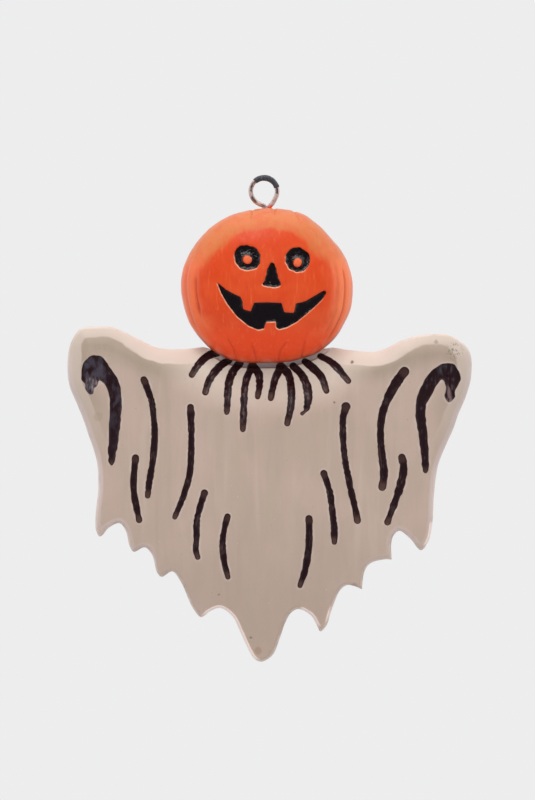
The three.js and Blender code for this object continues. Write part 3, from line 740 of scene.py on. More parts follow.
class HeadForm:
    """Front of the head: a flattened round, with creases between its ribs."""

    def __init__(self, sizes):
        self.sizes = sizes
        self.edge = smooth_curve(HEAD_OUTLINE, 0.25, closed=True) * HALF_WIDTH / DRAWN_WIDTH
        self.outline = Outline(self.edge)
        turns = np.arctan2(self.edge[:, 1], self.edge[:, 0])
        order = np.argsort(turns)
        self.turns, self.radii = turns[order], np.hypot(*self.edge[order].T)
        self.cracks = [Band(smooth_curve(crack, 0.2)) for crack in CRACKS]

    def share(self, points):
        """How far out points are, from 0 at the centre to 1 at the edge."""
        turns = np.arctan2(points[:, 1], points[:, 0])
        return np.hypot(*points.T) / np.interp(turns, self.turns, self.radii, period=2 * math.pi)

    def depth(self, share):
        """Height of the front over the widest part, as a share of the bulge."""
        power = self.sizes.flatness
        return np.maximum(1 - np.clip(share, 0, 1) ** power, 0) ** (1 / power)

    def normals(self, points):
        """Unit vectors that point out of the front."""
        power = self.sizes.flatness
        share = np.clip(self.share(points), 1e-4, 1)
        over_x, over_z = slopes(self.share, points, 0.01)
        ahead = self.depth(share) ** (power - 1) / BULGE
        rise = share ** (power - 1)
        normal = np.c_[rise * over_x, -ahead, rise * over_z]
        return normal / np.linalg.norm(normal, axis=1, keepdims=True)

    def ribs(self, points):
        """Depth of the creases, which run from crown to chin at even shares of the width."""
        x, z = points.T
        right, left = self.edge[self.edge[:, 0] > 0], self.edge[self.edge[:, 0] < 0]
        right, left = right[np.argsort(right[:, 1])], left[np.argsort(left[:, 1])]
        reach = np.where(
            x > 0, np.interp(z, right[:, 1], right[:, 0]), -np.interp(z, left[:, 1], left[:, 0])
        )
        across = x / np.maximum(reach, 1.5)
        total = np.zeros(len(points))
        for place, width, depth, low, high in RIBS:
            here = np.exp(-(((across - place) / width) ** 2))
            span = smoothstep(z, low - 1.5, low + 1) * (1 - smoothstep(z, high - 1, high + 1.5))
            total += depth * here * span
        return total

    def cracked(self, points):
        """Depth of the notches and the cracks."""
        depth, width = 0.19, 0.22
        return depth * np.exp(-((near(points, self.cracks, 2) / width) ** 2))

    def skin(self, points):
        """Points in space on the modelled skin."""
        share = self.share(points)
        base = np.c_[points[:, 0], -BULGE * self.depth(share), points[:, 1]]
        uneven = 0.05 * ripple(points, 3.1, 5) + 0.025 * ripple(points, 1.2, 6)
        inward = self.ribs(points) + self.cracked(points) + uneven * smoothstep(share, 0.3, 0.8)
        return base - self.normals(points) * (inward + 0.05)[:, None]


class RobeForm:
    """Front of the robe: a gently crowned sheet with rolled edges, seat ring and grooves."""

    def __init__(self, sizes, head):
        self.sizes, self.head = sizes, head
        stretches = [smooth_curve(stretch, 0.28) for stretch in ROBE_STRETCHES]
        self.outer = np.vstack([stretches[0][:-1], stretches[1][:-1], stretches[2]])
        seat = self.round_head(-sizes.seat_lap)
        seat = seat[(seat[:, 1] < SEAT_TOP) & (np.abs(seat[:, 0]) < SEAT_SIDE)]
        self.edge = np.vstack([self.outer, seat[np.argsort(-seat[:, 0])]])

    def round_head(self, amount):
        """The head's edge, grown by an amount, counted from the chin."""
        return self.head.edge + outward(self.head.edge) * amount + np.array([0, FALL])

    def from_head(self, points):
        """Distance out from the head's edge."""
        return self.head.outline.distance(points - np.array([0, FALL]))

    def roll_size(self, z):
        """Width and depth of the rolled edge at a height."""
        sizes, share = self.sizes, smoothstep(-z / LENGTH, 0, ROLL_CHANGE)
        wide = sizes.shoulder_roll + (sizes.hem_roll - sizes.shoulder_roll) * share
        deep = sizes.shoulder_roll + (sizes.hem_fall - sizes.shoulder_roll) * share
        return wide, deep

    def sheet(self, points):
        """Depth of the front before its edges and grooves."""
        x, z = points.T
        down = -z / LENGTH
        hand = HAND_DROP * (x / HAND_REACH) ** 2
        hem = HEM_DROP * smoothstep(down, 0.35, 1)
        lean = (hand**3 + hem**3 + 1e-9) ** (1 / 3)
        beyond = np.hypot(x / DRAWN_WIDTH, (z - DRAWN_HEIGHT) / DRAWN_HEIGHT) - 1
        neck = NECK_DROP * (1 - smoothstep(beyond * DRAWN_HEIGHT, 0, NECK_REACH))
        waves = (1 + np.cos(x / FOLD_PITCH * 2 * math.pi + 0.8 * ripple(points, 11, 3))) / 2
        folds = self.sizes.fold_height * waves * smoothstep(down, 0.05, 0.4)
        uneven = 0.07 * ripple(points, 6.5, 1) + 0.03 * ripple(points, 2.3, 2)
        return -CHEST + lean + neck + folds * smoothstep(np.abs(x), 3, 8) + uneven + 0.1

    def rolled(self, points):
        """Depth of the front with its rolled edges, which meet the sheet in a soft ridge."""
        wide, deep = self.roll_size(points[:, 1])
        gap = near(points, [Band(np.c_[self.outer, np.zeros(len(self.outer))])], 9)
        start = 0.22
        whole = math.sqrt(1 - start**2)
        share = start + (1 - start) * (1 - np.clip(gap / wide, 0, 1))
        fall = (whole - np.sqrt(np.maximum(1 - share**2, 0))) / whole
        high = 1 - smoothstep(-points[:, 1] / LENGTH, -0.02, 0.2)
        ridge = high * np.exp(-((np.maximum(gap - wide, 0) / 2.1) ** 2))
        return self.sheet(points) + deep * fall - self.sizes.ridge_height * ridge

    def ring_sink(self, points):
        """How far points have sunk to the floor of the ring under the chin, from 0 to 1."""
        sink = np.interp(self.from_head(points), RING_GAPS, RING_DEPTHS)
        return sink * (1 - 0.6 * smoothstep(np.abs(points[:, 0]), 7, 12))

    def ringed(self, points, level):
        """Depth of the front, at a level before, with the ring under the chin sunk in it."""
        floor = NECK_DROP - CHEST + self.sizes.ring_depth
        return level + np.maximum(floor - level, 0) * self.ring_sink(points)

    def carved(self, points, strokes):
        """Depth of the front with the ring under the chin and the grooves with their lips."""
        level = self.rolled(points)
        gap = near(points, strokes, 3)
        groove = np.interp(gap, GROOVE_GAPS, GROOVE_DEPTHS)
        lip_height, lip_gap, lip_width = 0.15, 0.75, 0.5
        lip = lip_height * np.exp(-(((gap - lip_gap) / lip_width) ** 2))
        cut = level - lip + groove * self.sizes.groove_depth
        return np.maximum(cut, self.ringed(points, level))

    def painted(self, points, gap):
        """Depth of the paint's top: sunk in a groove, raised on the ring under the chin."""
        level = self.rolled(points)
        sink = self.ring_sink(points)
        filled = np.interp(gap, PAINT_GAPS, PAINT_DEPTHS)
        bead = np.interp(gap, BEAD_GAPS, BEAD_HEIGHTS)
        return self.ringed(points, level) + filled * (1 - sink) - bead * sink


def hand_drawn(stroke, seed):
    """Stations along a stroke, whose width and course waver a little."""
    step = 0.16
    stations = smooth_curve(stroke, step)
    run = np.c_[np.arange(len(stations)) * step, np.full(len(stations), seed * 7.3)]
    stations[:, 2] *= 1 + 0.1 * ripple(run, 1.3, seed) + 0.12 * ripple(run, 0.45, seed + 50)
    stations[:, 0] += 0.05 * ripple(run, 2.2, seed + 90) + 0.035 * ripple(run, 0.6, seed + 130)
    return stations


def fold_strokes():
    """Grooves of the folds, by the name of their paint."""
    strokes = {}
    for side, seed in (("left", 10), ("right", 20)):
        hook = smooth_curve(HOOKS[side], 0.16, closed=True)
        hook += outward(hook) * 0.1 * ripple(hook, 0.75, seed + 9)[:, None]
        strokes[f"fold_fill_{side}_1"] = Outline(hook)
        for i, stroke in enumerate(FOLDS[side]):
            strokes[f"fold_fill_{side}_{i + 2}"] = Band(hand_drawn(stroke, seed + i))
    return strokes


def gather_strokes():
    """Grooves of the gathers under the neck, by the name of their paint."""
    strokes = {}
    for i, parts in enumerate(GATHERS):
        bands = [Band(hand_drawn(part, 30 + 3 * i + j)) for j, part in enumerate(parts)]
        strokes[f"gather_fill_{i + 1}"] = Joined(bands)
    return strokes


def face_shapes(sizes):
    """Recesses of the face by the name of their enamel, each eye with a pupil standing in it."""
    shapes = {}
    for name, corners in FACE_OUTLINES.items():
        if name == "mouth":
            edge = softened(corners, 0.1, 0.13)
        else:
            edge = smooth_curve(corners, 0.12, closed=True)
            edge += outward(edge) * 0.1 * ripple(edge, 0.6, 40)[:, None]
        shapes[name + "_fill"] = Outline(edge)
    turn = np.arange(40)[:, None] / 40 * 2 * math.pi
    for name, centre in PUPILS.items():
        radius = sizes.pupil_radius * (1 + 0.05 * np.sin(2 * turn + centre[0]))
        disc = np.array(centre) + np.c_[np.cos(turn), np.sin(turn)] * radius
        shapes[name + "_fill"] = Joined([shapes[name + "_fill"]], holes=[Outline(disc)])
    return shapes


# Meshes of the pieces


def head_mesh(form, shapes):
    """The head, with the face sunk in its front and a rounded edge to its flat back."""
    plan = Plan()
    # Rings from the edge in to a share of the way, at an even step along the bent skin
    bent = 0.76
    dense = np.linspace(1, bent, 400)
    run = np.r_[0, np.cumsum(np.hypot(np.diff(dense) * 15, np.diff(form.depth(dense)) * BULGE))]
    for share in np.interp(np.arange(0, run[-1], 0.36), run, dense):
        plan.add_ring(form.edge * share)
    for shape in shapes.values():
        for gap in RECESS_GAPS[::-1]:
            plan.add_rings(shape, gap)
    for crack in form.cracks:
        plan.add_rings(crack, 0.1, lambda ring: form.share(ring) < 0.995)
    grid = hex_grid(form.outline.low, form.outline.high, 0.32)
    gap = near(grid, shapes.values(), 2)
    plan.add(grid[(form.share(grid) < bent - 0.015) & ((gap > 0.3) | (gap < -0.4))])
    flat, faces = plan.triangles(lambda centres: form.share(centres) < 1)
    gap = near(flat, shapes.values(), 2)
    pupils = [hole for shape in shapes.values() for hole in getattr(shape, "holes", ())]
    pupil = near(flat, pupils, 2)
    front = form.skin(flat)
    front[:, 1] += np.interp(gap, RECESS_GAPS, RECESS_DEPTHS) * form.sizes.recess_depth
    front[:, 1] += np.interp(pupil, (-0.6, -0.2, 0), (0.12, 0.2, 0.34)) * (pupil < 0.02)
    over_x, over_z = slopes(lambda points: near(points, shapes.values(), 2), flat, 0.04)
    # The lips of the recesses get a painted highlight, most at the bottom, which faces the light
    # from above, and a little at the left
    lip = smoothstep(-(0.35 * over_x + 0.85 * over_z), 0.1, 0.75)

    def wall(edge):
        side, radius = outward(edge[:, [0, 2]]), form.sizes.back_round
        for level in (0.8, 1.8, 2.8):
            yield at_depth(edge[:, [0, 2]], level)
        for turn in np.radians(np.linspace(0, 90, 7)):
            inset = side * radius * (1 - math.cos(turn))
            yield at_depth(edge[:, [0, 2]] - inset, BACK - radius + radius * math.sin(turn))

    points, triangles = closed_body(front, faces, wall, 0.9)
    extra = np.zeros(len(points) - len(flat))
    marks = {
        "crease": np.r_[form.ribs(flat) + 1.2 * form.cracked(flat), extra],
        "share": np.r_[form.share(flat), extra + 1],
        "rim": np.r_[gap, extra + 2],
        "pupil": np.r_[pupil < -0.02, extra],
        "lip": np.r_[lip, extra],
    }
    return points, triangles, marks


def robe_mesh(form, strokes):
    """The robe, with its grooves cut in the front and a small round to its flat back."""
    plan = Plan()
    plan.add_ring(form.edge)
    wide, _ = form.roll_size(form.outer[:, 1])
    inward = -outward(form.outer, closed=False)
    # Lines along the rolled edge, closer together where it falls more steeply
    for turn in np.radians((16, 28, 40, 52, 64, 77, 90)):
        reach = wide * (1 - math.cos(turn))
        ring = form.outer + inward * reach[:, None]
        true = gap_to(ring, form.outer, closed=False) > 0.97 * reach - 0.004
        true[-1] = False
        plan.add_ring(ring, true & is_inside(ring, form.edge) & (form.from_head(ring) > 0.1))
    for gap in RING_GAPS:
        ring = form.round_head(gap)
        plan.add_ring(ring, ring[:, 1] < 4)
    for stroke in strokes:
        for gap in (0.7, 0.32, *GROOVE_GAPS):
            plan.add_rings(stroke, gap, lambda ring: is_inside(ring, form.edge))
    grid = hex_grid(form.edge.min(0), form.edge.max(0), 0.42)
    grid = grid[is_inside(grid, form.edge)]
    gap = near(grid, strokes, 2)
    wide, _ = form.roll_size(grid[:, 1])
    clear = gap_to(grid, form.outer, closed=False) > wide + 0.2
    away = form.from_head(grid)
    clear &= (away > RING_GAPS[-1] + 0.2) | ((away > 0.2) & (away < RING_GAPS[0] - 0.2))
    plan.add(grid[clear & ((gap > 0.95) | (gap < -0.45))])
    flat, faces = plan.triangles(lambda centres: is_inside(centres, form.edge))
    front = np.c_[flat[:, 0], form.carved(flat, strokes), flat[:, 1]]

    def wall(edge):
        side, width, depth = outward(edge[:, [0, 2]]), 0.3, 0.35
        yield np.c_[edge[:, 0], np.minimum(edge[:, 1] + 0.5, BACK - 0.4), edge[:, 2]]
        for turn in np.radians((0, 30, 60, 90)):
            inset = side * width * (1 - math.cos(turn))
            yield at_depth(edge[:, [0, 2]] - inset, BACK - depth + depth * math.sin(turn))

    points, triangles = closed_body(front, faces, wall, 1.1)
    extra = np.full(len(points) - len(flat), 9.0)
    marks = {
        "edge": np.r_[gap_to(flat, form.outer, closed=False), extra],
        "groove": np.r_[near(flat, strokes, 3), extra],
        "seat": np.r_[form.from_head(flat), extra],
    }
    # The first ring of the wall still counts as the edge, so its worn paint and its painted
    # highlights turn the corner
    near_rim = len(flat) + np.arange(len(rim_loops(faces)[0]))
    marks["edge"][near_rim] = 0.5
    return points, triangles, marks


def film(shape, gaps, front_of, back_of, keep=None, guide=None):
    """A body of paint in a recess, from the depths of its top and its underside.

    The last of the gaps is the distance from the shape's edge to the paint's. A guide is a line
    that its triangles follow.
    """
    *inner, edge_gap = gaps
    plan = Plan()
    for ring in shape.rings(edge_gap):
        plan.add_ring(ring)
    if guide is not None:
        close = np.all((guide > shape.low - 1) & (guide < shape.high + 1), 1)
        plan.add_ring(guide, close)
    for gap in inner[::-1]:
        plan.add_rings(shape, gap)
    grid = hex_grid(shape.low, shape.high, FILM_STEP)
    plan.add(grid[shape.distance(grid) < inner[0] - 0.6 * FILM_STEP])

    def inside(centres):
        kept = shape.distance(centres) < edge_gap
        return kept & keep(centres) if keep else kept

    flat, faces = plan.triangles(inside)
    faces = main_part(faces)
    gap = shape.distance(flat)
    front = front_of(flat, gap)
    back = np.maximum(back_of(flat, gap), front + THINNEST)
    points, triangles = closed_film(
        np.c_[flat[:, 0], front, flat[:, 1]], np.c_[flat[:, 0], back, flat[:, 1]], faces
    )
    return points, triangles, flat, gap


def stroke_marks(shape, points, gap):
    """Where each point lies in its stroke: along it, across it, and from its tail."""
    bands = getattr(shape, "shapes", [shape])
    if not isinstance(bands[0], Band):
        tail = np.hypot(*(points - shape.edge[shape.edge[:, 1].argmin()]).T)
        return {"top": -points[:, 1], "across": points[:, 0], "tail": tail, "gap": gap}
    best = np.full(len(points), 99.0)
    marks = {name: np.zeros(len(points)) for name in ("top", "across", "tail")}
    for band in bands:
        steps = np.r_[0, np.cumsum(np.hypot(*np.diff(band.line, axis=0).T))]
        offset = points[:, None] - band.line
        away = np.hypot(*np.moveaxis(offset, 2, 0))
        spot = away.argmin(1)
        here = np.arange(len(points))
        side = outward(band.line, closed=False)[spot]
        past = away[here, spot] - band.half[spot]
        mine = past < best
        best = np.where(mine, past, best)
        marks["top"] = np.where(mine, steps[spot], marks["top"])
        marks["across"] = np.where(mine, (offset[here, spot] * side).sum(1), marks["across"])
        marks["tail"] = np.where(mine, steps[-1] - steps[spot], marks["tail"])
    return {**marks, "gap": gap}


def doubled(marks):
    """The marks of a film's front, given to its back too."""
    return {name: np.r_[values, values] for name, values in marks.items()}


def skinned(rings, closed):
    """Skins a run of rings. An open run gets a flat end at each end, a closed one meets itself."""
    sides, count = len(rings[0]), len(rings)
    points, faces = np.vstack(rings), []
    for i in range(count if closed else count - 1):
        a = i * sides + np.arange(sides)
        d = (i + 1) % count * sides + np.arange(sides)
        b, c = np.roll(a, -1), np.roll(d, -1)
        faces += [np.c_[a, b, d], np.c_[b, c, d]]
    if not closed:
        first, last = np.arange(sides), (count - 1) * sides + np.arange(sides)
        points = np.vstack([points, rings[0].mean(0), rings[-1].mean(0)])
        faces.append(np.c_[np.full(sides, len(points) - 2), np.roll(first, -1), first])
        faces.append(np.c_[np.full(sides, len(points) - 1), last, np.roll(last, -1)])
    return points, np.vstack(faces)


def ring_round(centre, along, radius, sides=24):
    """A ring of points round a line in the plane of X and Z."""
    turn = np.arange(sides)[:, None] / sides * 2 * math.pi
    across = np.array([along[1], 0, -along[0]])
    return np.array([centre[0], 0, centre[1]]) + radius * (
        np.cos(turn) * across + np.sin(turn) * np.array([0, 1, 0])
    )


def on_eye(sizes, degrees):
    """Points of the eye's round centreline."""
    turn = np.radians(degrees)
    return np.c_[np.cos(turn), np.sin(turn)] * sizes.eye_radius + np.array([0, EYE_LEVEL])


def wire_line(sizes):
    """Centreline of the wire, from the foot of its left leg round to that of its right one."""
    pull = 1.55
    start, end = on_eye(sizes, EYE_ENDS)
    turn = math.radians(EYE_ENDS[0])
    flank = np.array([math.sin(turn), -math.cos(turn)]) * pull
    t = np.linspace(0, 1, 24)[1:-1, None]
    lines = []
    for side, top, handle in ((-1, start, -flank), (1, end, -flank * np.array([-1, 1]))):
        leg = np.array([AXIS + side * LEG_GAP, EYE_LEVEL - LEG_DROP])
        bend = (
            (1 - t) ** 3 * leg
            + 3 * (1 - t) ** 2 * t * (leg + np.array([side * 0.35, 0.3]))
            + 3 * (1 - t) * t**2 * (top + handle)
            + t**3 * top
        )
        foot = np.c_[np.full(12, leg[0]), np.linspace(leg[1] - LEG_LENGTH, leg[1], 12)]
        lines.append(np.vstack([foot, bend]))
    round_top = on_eye(sizes, np.linspace(*EYE_ENDS, 64))
    return np.vstack([lines[0], round_top, lines[1][::-1]])


def wire_mesh(sizes):
    """The wire, whose thickness is a little uneven."""
    line = wire_line(sizes)
    along = np.gradient(line, axis=0)
    along /= np.linalg.norm(along, axis=1, keepdims=True)
    run = np.c_[np.arange(len(line)) * 0.3, np.zeros(len(line))]
    radius = sizes.wire_diameter / 2 * (1 + 0.015 * ripple(run, 1.1, 70))
    rings = [ring_round(*station) for station in zip(line, along, radius)]
    return skinned(rings, closed=False)


def sleeve_mesh(sizes):
    """The sleeve, a thin pipe whose outside is a little uneven and whose ends are rounded."""
    count = 60
    turns = np.linspace(*SLEEVE_ENDS, count)
    line = on_eye(sizes, turns)
    along = np.c_[np.sin(np.radians(turns)), -np.cos(np.radians(turns))]
    run = np.c_[np.arange(count) * 0.085, np.zeros(count)]
    outer = SLEEVE_OUTSIDE + 0.03 * ripple(run, 0.7, 71) + 0.015 * ripple(run, 0.3, 72)
    inner = np.full(count, SLEEVE_INSIDE)
    ends = np.minimum(np.arange(count), np.arange(count)[::-1])
    outer -= 0.05 * (1 - np.clip(ends / 2, 0, 1)) ** 2
    rings = [ring_round(*station) for station in zip(line, along, outer)]
    rings += [ring_round(*station) for station in zip(line[::-1], along[::-1], inner)]
    return skinned(rings, closed=True)


# Finishes


class Value:
    """A shader socket that takes part in sums."""

    def __init__(self, finish, socket):
        self.finish, self.socket = finish, socket

    def maths(self, operation, first, second):
        """Adds a Math node and gives its result."""
        return self.finish.node("ShaderNodeMath", {"operation": operation}, {0: first, 1: second})

    def __add__(self, other):
        return self.maths("ADD", self, other)

    def __sub__(self, other):
        return self.maths("SUBTRACT", self, other)

    def __rsub__(self, other):
        return self.maths("SUBTRACT", other, self)

    def __mul__(self, other):
        return self.maths("MULTIPLY", self, other)

    __radd__ = __add__
    __rmul__ = __mul__


class Finish:
    """The node tree of a material or a world, and the ways in which this file adds to it."""

    def __init__(self, owner):
        self.owner = owner
        owner.use_nodes = True
        self.tree = owner.node_tree
        kinds = {node.bl_idname: node for node in self.tree.nodes}
        self.shader = kinds.get("ShaderNodeBsdfPrincipled") or kinds["ShaderNodeBackground"]

    def node(self, kind, settings=None, inputs=None, output=0):
        """Adds a node, sets it, fills its sockets, and gives one of its outputs."""
        made = self.tree.nodes.new(kind)
        for name, setting in (settings or {}).items():
            setattr(made, name, setting)
        for name, value in (inputs or {}).items():
            self.fill(made.inputs[name], value)
        return Value(self, made.outputs[output])

    def fill(self, socket, value):
        """Links a value to a socket, or sets the socket to a number or a colour."""
        if isinstance(value, Value):
            self.tree.links.new(value.socket, socket)
        elif socket.type == "RGBA":
            socket.default_value = (*value[:3], 1)
        else:
            socket.default_value = value

    def surface(self, **inputs):
        """Fills the shader's own sockets, whose names have underscores here for spaces."""
        for name, value in inputs.items():
            self.fill(self.shader.inputs[name.replace("_", " ")], value)

    def place(self, stretch=(1, 1, 1)):
        """The point on the object, in metres, stretched along the axes."""
        here = self.node("ShaderNodeTexCoord", output="Object")
        return self.node(
            "ShaderNodeVectorMath", {"operation": "MULTIPLY"}, {0: here, 1: stretch}
        )

    def level(self, axis):
        """Where the point lies along an axis of the frame, in millimetres."""
        here = self.node("ShaderNodeTexCoord", output="Object")
        return self.node("ShaderNodeSeparateXYZ", None, {"Vector": here}, axis) * (1 / MM)

    def noise(self, size, detail=2.0, stretch=(1, 1, 1), warp=0.0, where=None):
        """Cloudy noise from 0 to 1, whose spots are about a size in millimetres."""
        inputs = {
            "Vector": where or self.place(stretch),
            "Scale": 1 / (size * MM),
            "Detail": detail,
            "Distortion": warp,
        }
        return self.node("ShaderNodeTexNoise", None, inputs, "Fac")

    def mask(self, value, low, high):
        """0 below the low value and 1 above the high one. The low one may be the greater."""
        if low > high:
            return 1 - self.mask(value, high, low)
        inputs = {"Value": value, "From Min": low, "From Max": high}
        return self.node("ShaderNodeMapRange", {"interpolation_type": "SMOOTHSTEP"}, inputs)

    def mark(self, name):
        """A value kept on the points of the mesh."""
        return self.node("ShaderNodeAttribute", {"attribute_name": name}, output="Fac")

    def mix(self, first, second, factor):
        """One colour where the factor is 0 and another where it is 1."""
        inputs = {0: factor, 6: first, 7: second}
        return self.node("ShaderNodeMix", {"data_type": "RGBA"}, inputs, 2)

    def spot(self, x, z, radius, blur=0.5, ragged=0.0):
        """A round mark on the front, at millimetres of the frame, with a ragged edge or not."""
        inputs = {0: self.place((1, 0, 1)), 1: (x * MM, 0, z * MM)}
        away = self.node("ShaderNodeVectorMath", {"operation": "DISTANCE"}, inputs, "Value")
        if ragged:
            away = away + (self.noise(0.5, 3.0) - 0.5) * (ragged * MM)
        return self.mask(away, radius * MM, radius * (1 - blur) * MM)

    def along_stroke(self, top, across, pull):
        """A place for noise that is drawn out along a stroke, the longer the smaller the pull."""
        inputs = {"X": top * (MM * pull), "Y": across * MM, "Z": 0.0}
        return self.node("ShaderNodeCombineXYZ", None, inputs)

    def rubbed(self):
        """Noise drawn out sideways, for the backs."""
        return self.noise(0.8, 3.0, (0.07, 1, 1), 0.2)

    def bump(self, height, depth, under=None):
        """A normal bent by a height from 0 to 1 over a depth in millimetres."""
        inputs = {"Height": height, "Distance": depth * MM, "Strength": 1.0}
        if under:
            inputs["Normal"] = under
        return self.node("ShaderNodeBump", None, inputs, "Normal")


def linear(*shades):
    """A colour from its red, green and blue of 0 to 255."""
    return tuple(
        shade / 255 / 12.92 if shade < 11 else ((shade / 255 + 0.055) / 1.055) ** 2.4
        for shade in shades
    )


def shaded(colour, amount):
    """A colour made lighter or darker by a factor."""
    return tuple(min(max(part * amount, 0), 1) for part in colour[:3])


def robe_paint(colours):
    """Satin stone-coloured paint, clouded by the brush, worn pale at thin edges. Light and shade
    are painted in too: highlights on the hem's edges, sheen at the arms' rims, light on the
    shoulders' roll and round the neck, and shade in the pleats, under the shoulder ridge and at
    the ring under the chin.
    """
    # Heights and places here are millimetres from the frame's zero, where the eye bears
    paint = Finish(bpy.data.materials.new("robe_paint"))
    edge, groove, seat = (paint.mark(name) for name in ("edge", "groove", "seat"))
    height = paint.level("Z")
    clouds = paint.noise(9, 3.0, (1, 1, 0.7), 0.4)
    colour = paint.mix(colours.robe, colours.robe_warm, paint.mask(clouds, 0.4, 0.68))
    khaki = paint.noise(5.5, 3.0, (1, 1, 0.55), 0.6)
    colour = paint.mix(colour, linear(178, 164, 145), paint.mask(khaki, 0.5, 0.75) * 0.5)
    # Soft vertical pleats painted in as light and shade: paler and darker streaks
    pleat_light_and_shade = paint.noise(2.8, 2.0, (1, 1, 0.1), 0.9)
    colour = paint.mix(colour, linear(206, 189, 175), paint.mask(pleat_light_and_shade, 0.5, 0.76) * 0.26)
    colour = paint.mix(colour, linear(170, 152, 139), paint.mask(pleat_light_and_shade, 0.46, 0.28) * 0.25)
    brushed = paint.noise(0.7, 2.0, (1, 1, 0.12), 0.3)
    colour = paint.mix(colour, linear(202, 184, 170), paint.mask(brushed, 0.5, 0.85) * 0.12)
    colour = paint.mix(colour, linear(168, 149, 137), paint.mask(brushed, 0.45, 0.15) * 0.12)
    high = paint.mask(height, -52, -36)
    wavy = edge + 0.7 * paint.noise(3.5, 2.0) - 0.35 + paint.mask(height, -33, -29.5) * 0.8
    # Painted shade: a khaki zone under the shoulders' ridge, where the front tilts away from the
    # light above
    ridge_shade = high * paint.mask(wavy, 6.8, 2.9)
    colour = paint.mix(colour, linear(160, 144, 126), ridge_shade * 0.6)
    # A pale band on the shoulders' rolled edge: partly paler dry-brushed paint, partly painted
    # light from above on the upward-facing roll
    band = high * paint.mask(wavy, 2.9, 2.55)
    colour = paint.mix(colour, linear(200, 183, 170), band * 0.9)
    # Painted sheen along the outer edges of the arms
    rim_sheen = paint.mask(height, -29, -36) * paint.mask(height, -76, -60)
    rim_sheen = rim_sheen * paint.mask(edge + 0.3 * paint.noise(2.2, 2.0), 1.3, 0.9)
    colour = paint.mix(colour, linear(208, 190, 190), rim_sheen * 0.55)
    colour = paint.mix(colour, linear(172, 152, 139), paint.mask(height, -55, -85) * 0.6)
    # Painted light on that band near the head, which makes up for the head's shadow there
    colour = paint.mix(colour, linear(226, 210, 198), band * paint.mask(seat, 17, 8) * 0.7)
    # Painted light round the neck, which makes up for the head's shadow and its orange bounce on
    # the robe
    neck_light = paint.mask(seat, 10.5, 2.5)
    colour = paint.mix(colour, linear(232, 221, 207), neck_light * 0.85)
    worn = paint.mask(edge, 0.55, 0.12) * paint.mask(paint.noise(2.4, 3.0), 0.3, 0.55)
    colour = paint.mix(colour, linear(226, 205, 193), worn * 0.7)
    # Painted highlights on the hem's bevelled edges at these places: a pale orange line, then a
    # pinkish-white band
    for x, z, radius in HEM_HIGHLIGHTS:
        edge_highlight = paint.spot(x, z, radius, 0.3)
        colour = paint.mix(colour, linear(204, 166, 146), edge_highlight * paint.mask(edge, 0.9, 0.6) * 0.45)
        colour = paint.mix(colour, linear(236, 218, 210), edge_highlight * paint.mask(edge, 0.62, 0.5))
    # Painted shade: the ring under the chin is grey-mauve, the hue of its shade; painted light
    # makes it pale at its ends, against the shade of the slope there
    ring = paint.mask(seat, 1.05, 0.75)
    ends = paint.mask(paint.level("X"), 7, 11) + paint.mask(paint.level("X"), -6, -10)
    colour = paint.mix(colour, paint.mix(linear(212, 208, 210), linear(236, 224, 212), ends), ring)
    # A painted shadow line where the ring steps up to the front
    line = ring * paint.mask(seat, 0.72, 0.88) * (0.7 - 0.6 * ends)
    colour = paint.mix(colour, linear(132, 118, 120), line)
    seam = paint.mask(seat + 0.5 * paint.noise(0.5, 3.0), 0.5, 0.35)
    colour = paint.mix(colour, linear(232, 222, 208), seam * 0.8)
    lips = paint.mask(groove, 0.08, 0.16) * paint.mask(groove, 0.5, 0.25) * (1 - neck_light)
    lips = lips * paint.mask(paint.noise(2.2, 2.0), 0.42, 0.6)
    colour = paint.mix(colour, linear(216, 200, 196), lips * 0.3)
    colour = paint.mix(colour, linear(150, 126, 122), paint.mask(groove, 0.14, 0.04) * 0.35)
    colour = paint.mix(colour, linear(60, 42, 44), paint.mask(groove, 0.06, 0.0))
    speckles = paint.mask(paint.noise(0.35, 1.0), 0.76, 0.8)
    colour = paint.mix(colour, linear(128, 110, 100), speckles * 0.5)
    pale = paint.mask(paint.noise(0.42, 1.0, (1, 1, 1.1)), 0.77, 0.81)
    colour = paint.mix(colour, linear(215, 202, 192), pale * 0.45)
    for x, z, radius, tone, amount in ROBE_MARKS:
        colour = paint.mix(colour, linear(*tone), paint.spot(x, z, radius, 0.5, 0.5) * amount)
    torn = paint.mask(paint.noise(0.45, 3.0, warp=1.0), 0.53, 0.58)
    scuff = paint.spot(35.2, -31.4, 2.1, 0.6) * torn
    colour = paint.mix(colour, linear(116, 110, 100), scuff * 0.75)
    rubbed = paint.mask(paint.rubbed(), 0.45, 0.8)
    back = paint.mix(linear(184, 166, 152), linear(202, 186, 174), rubbed)
    back = paint.mix(back, linear(160, 140, 127), paint.mask(clouds, 0.5, 0.7) * 0.4)
    colour = paint.mix(colour, back, paint.mask(paint.level("Y"), 4.5, 4.75))
    grain = paint.noise(0.22, 3.0)
    uneven = paint.noise(2.6, 3.0, (1, 1, 0.5))
    paint.surface(
        Base_Color=colour,
        Roughness=0.4 + 0.22 * paint.noise(1.6, 3.0),
        Normal=paint.bump(uneven, 0.12, paint.bump(grain, 0.025)),
    )
    return paint.owner


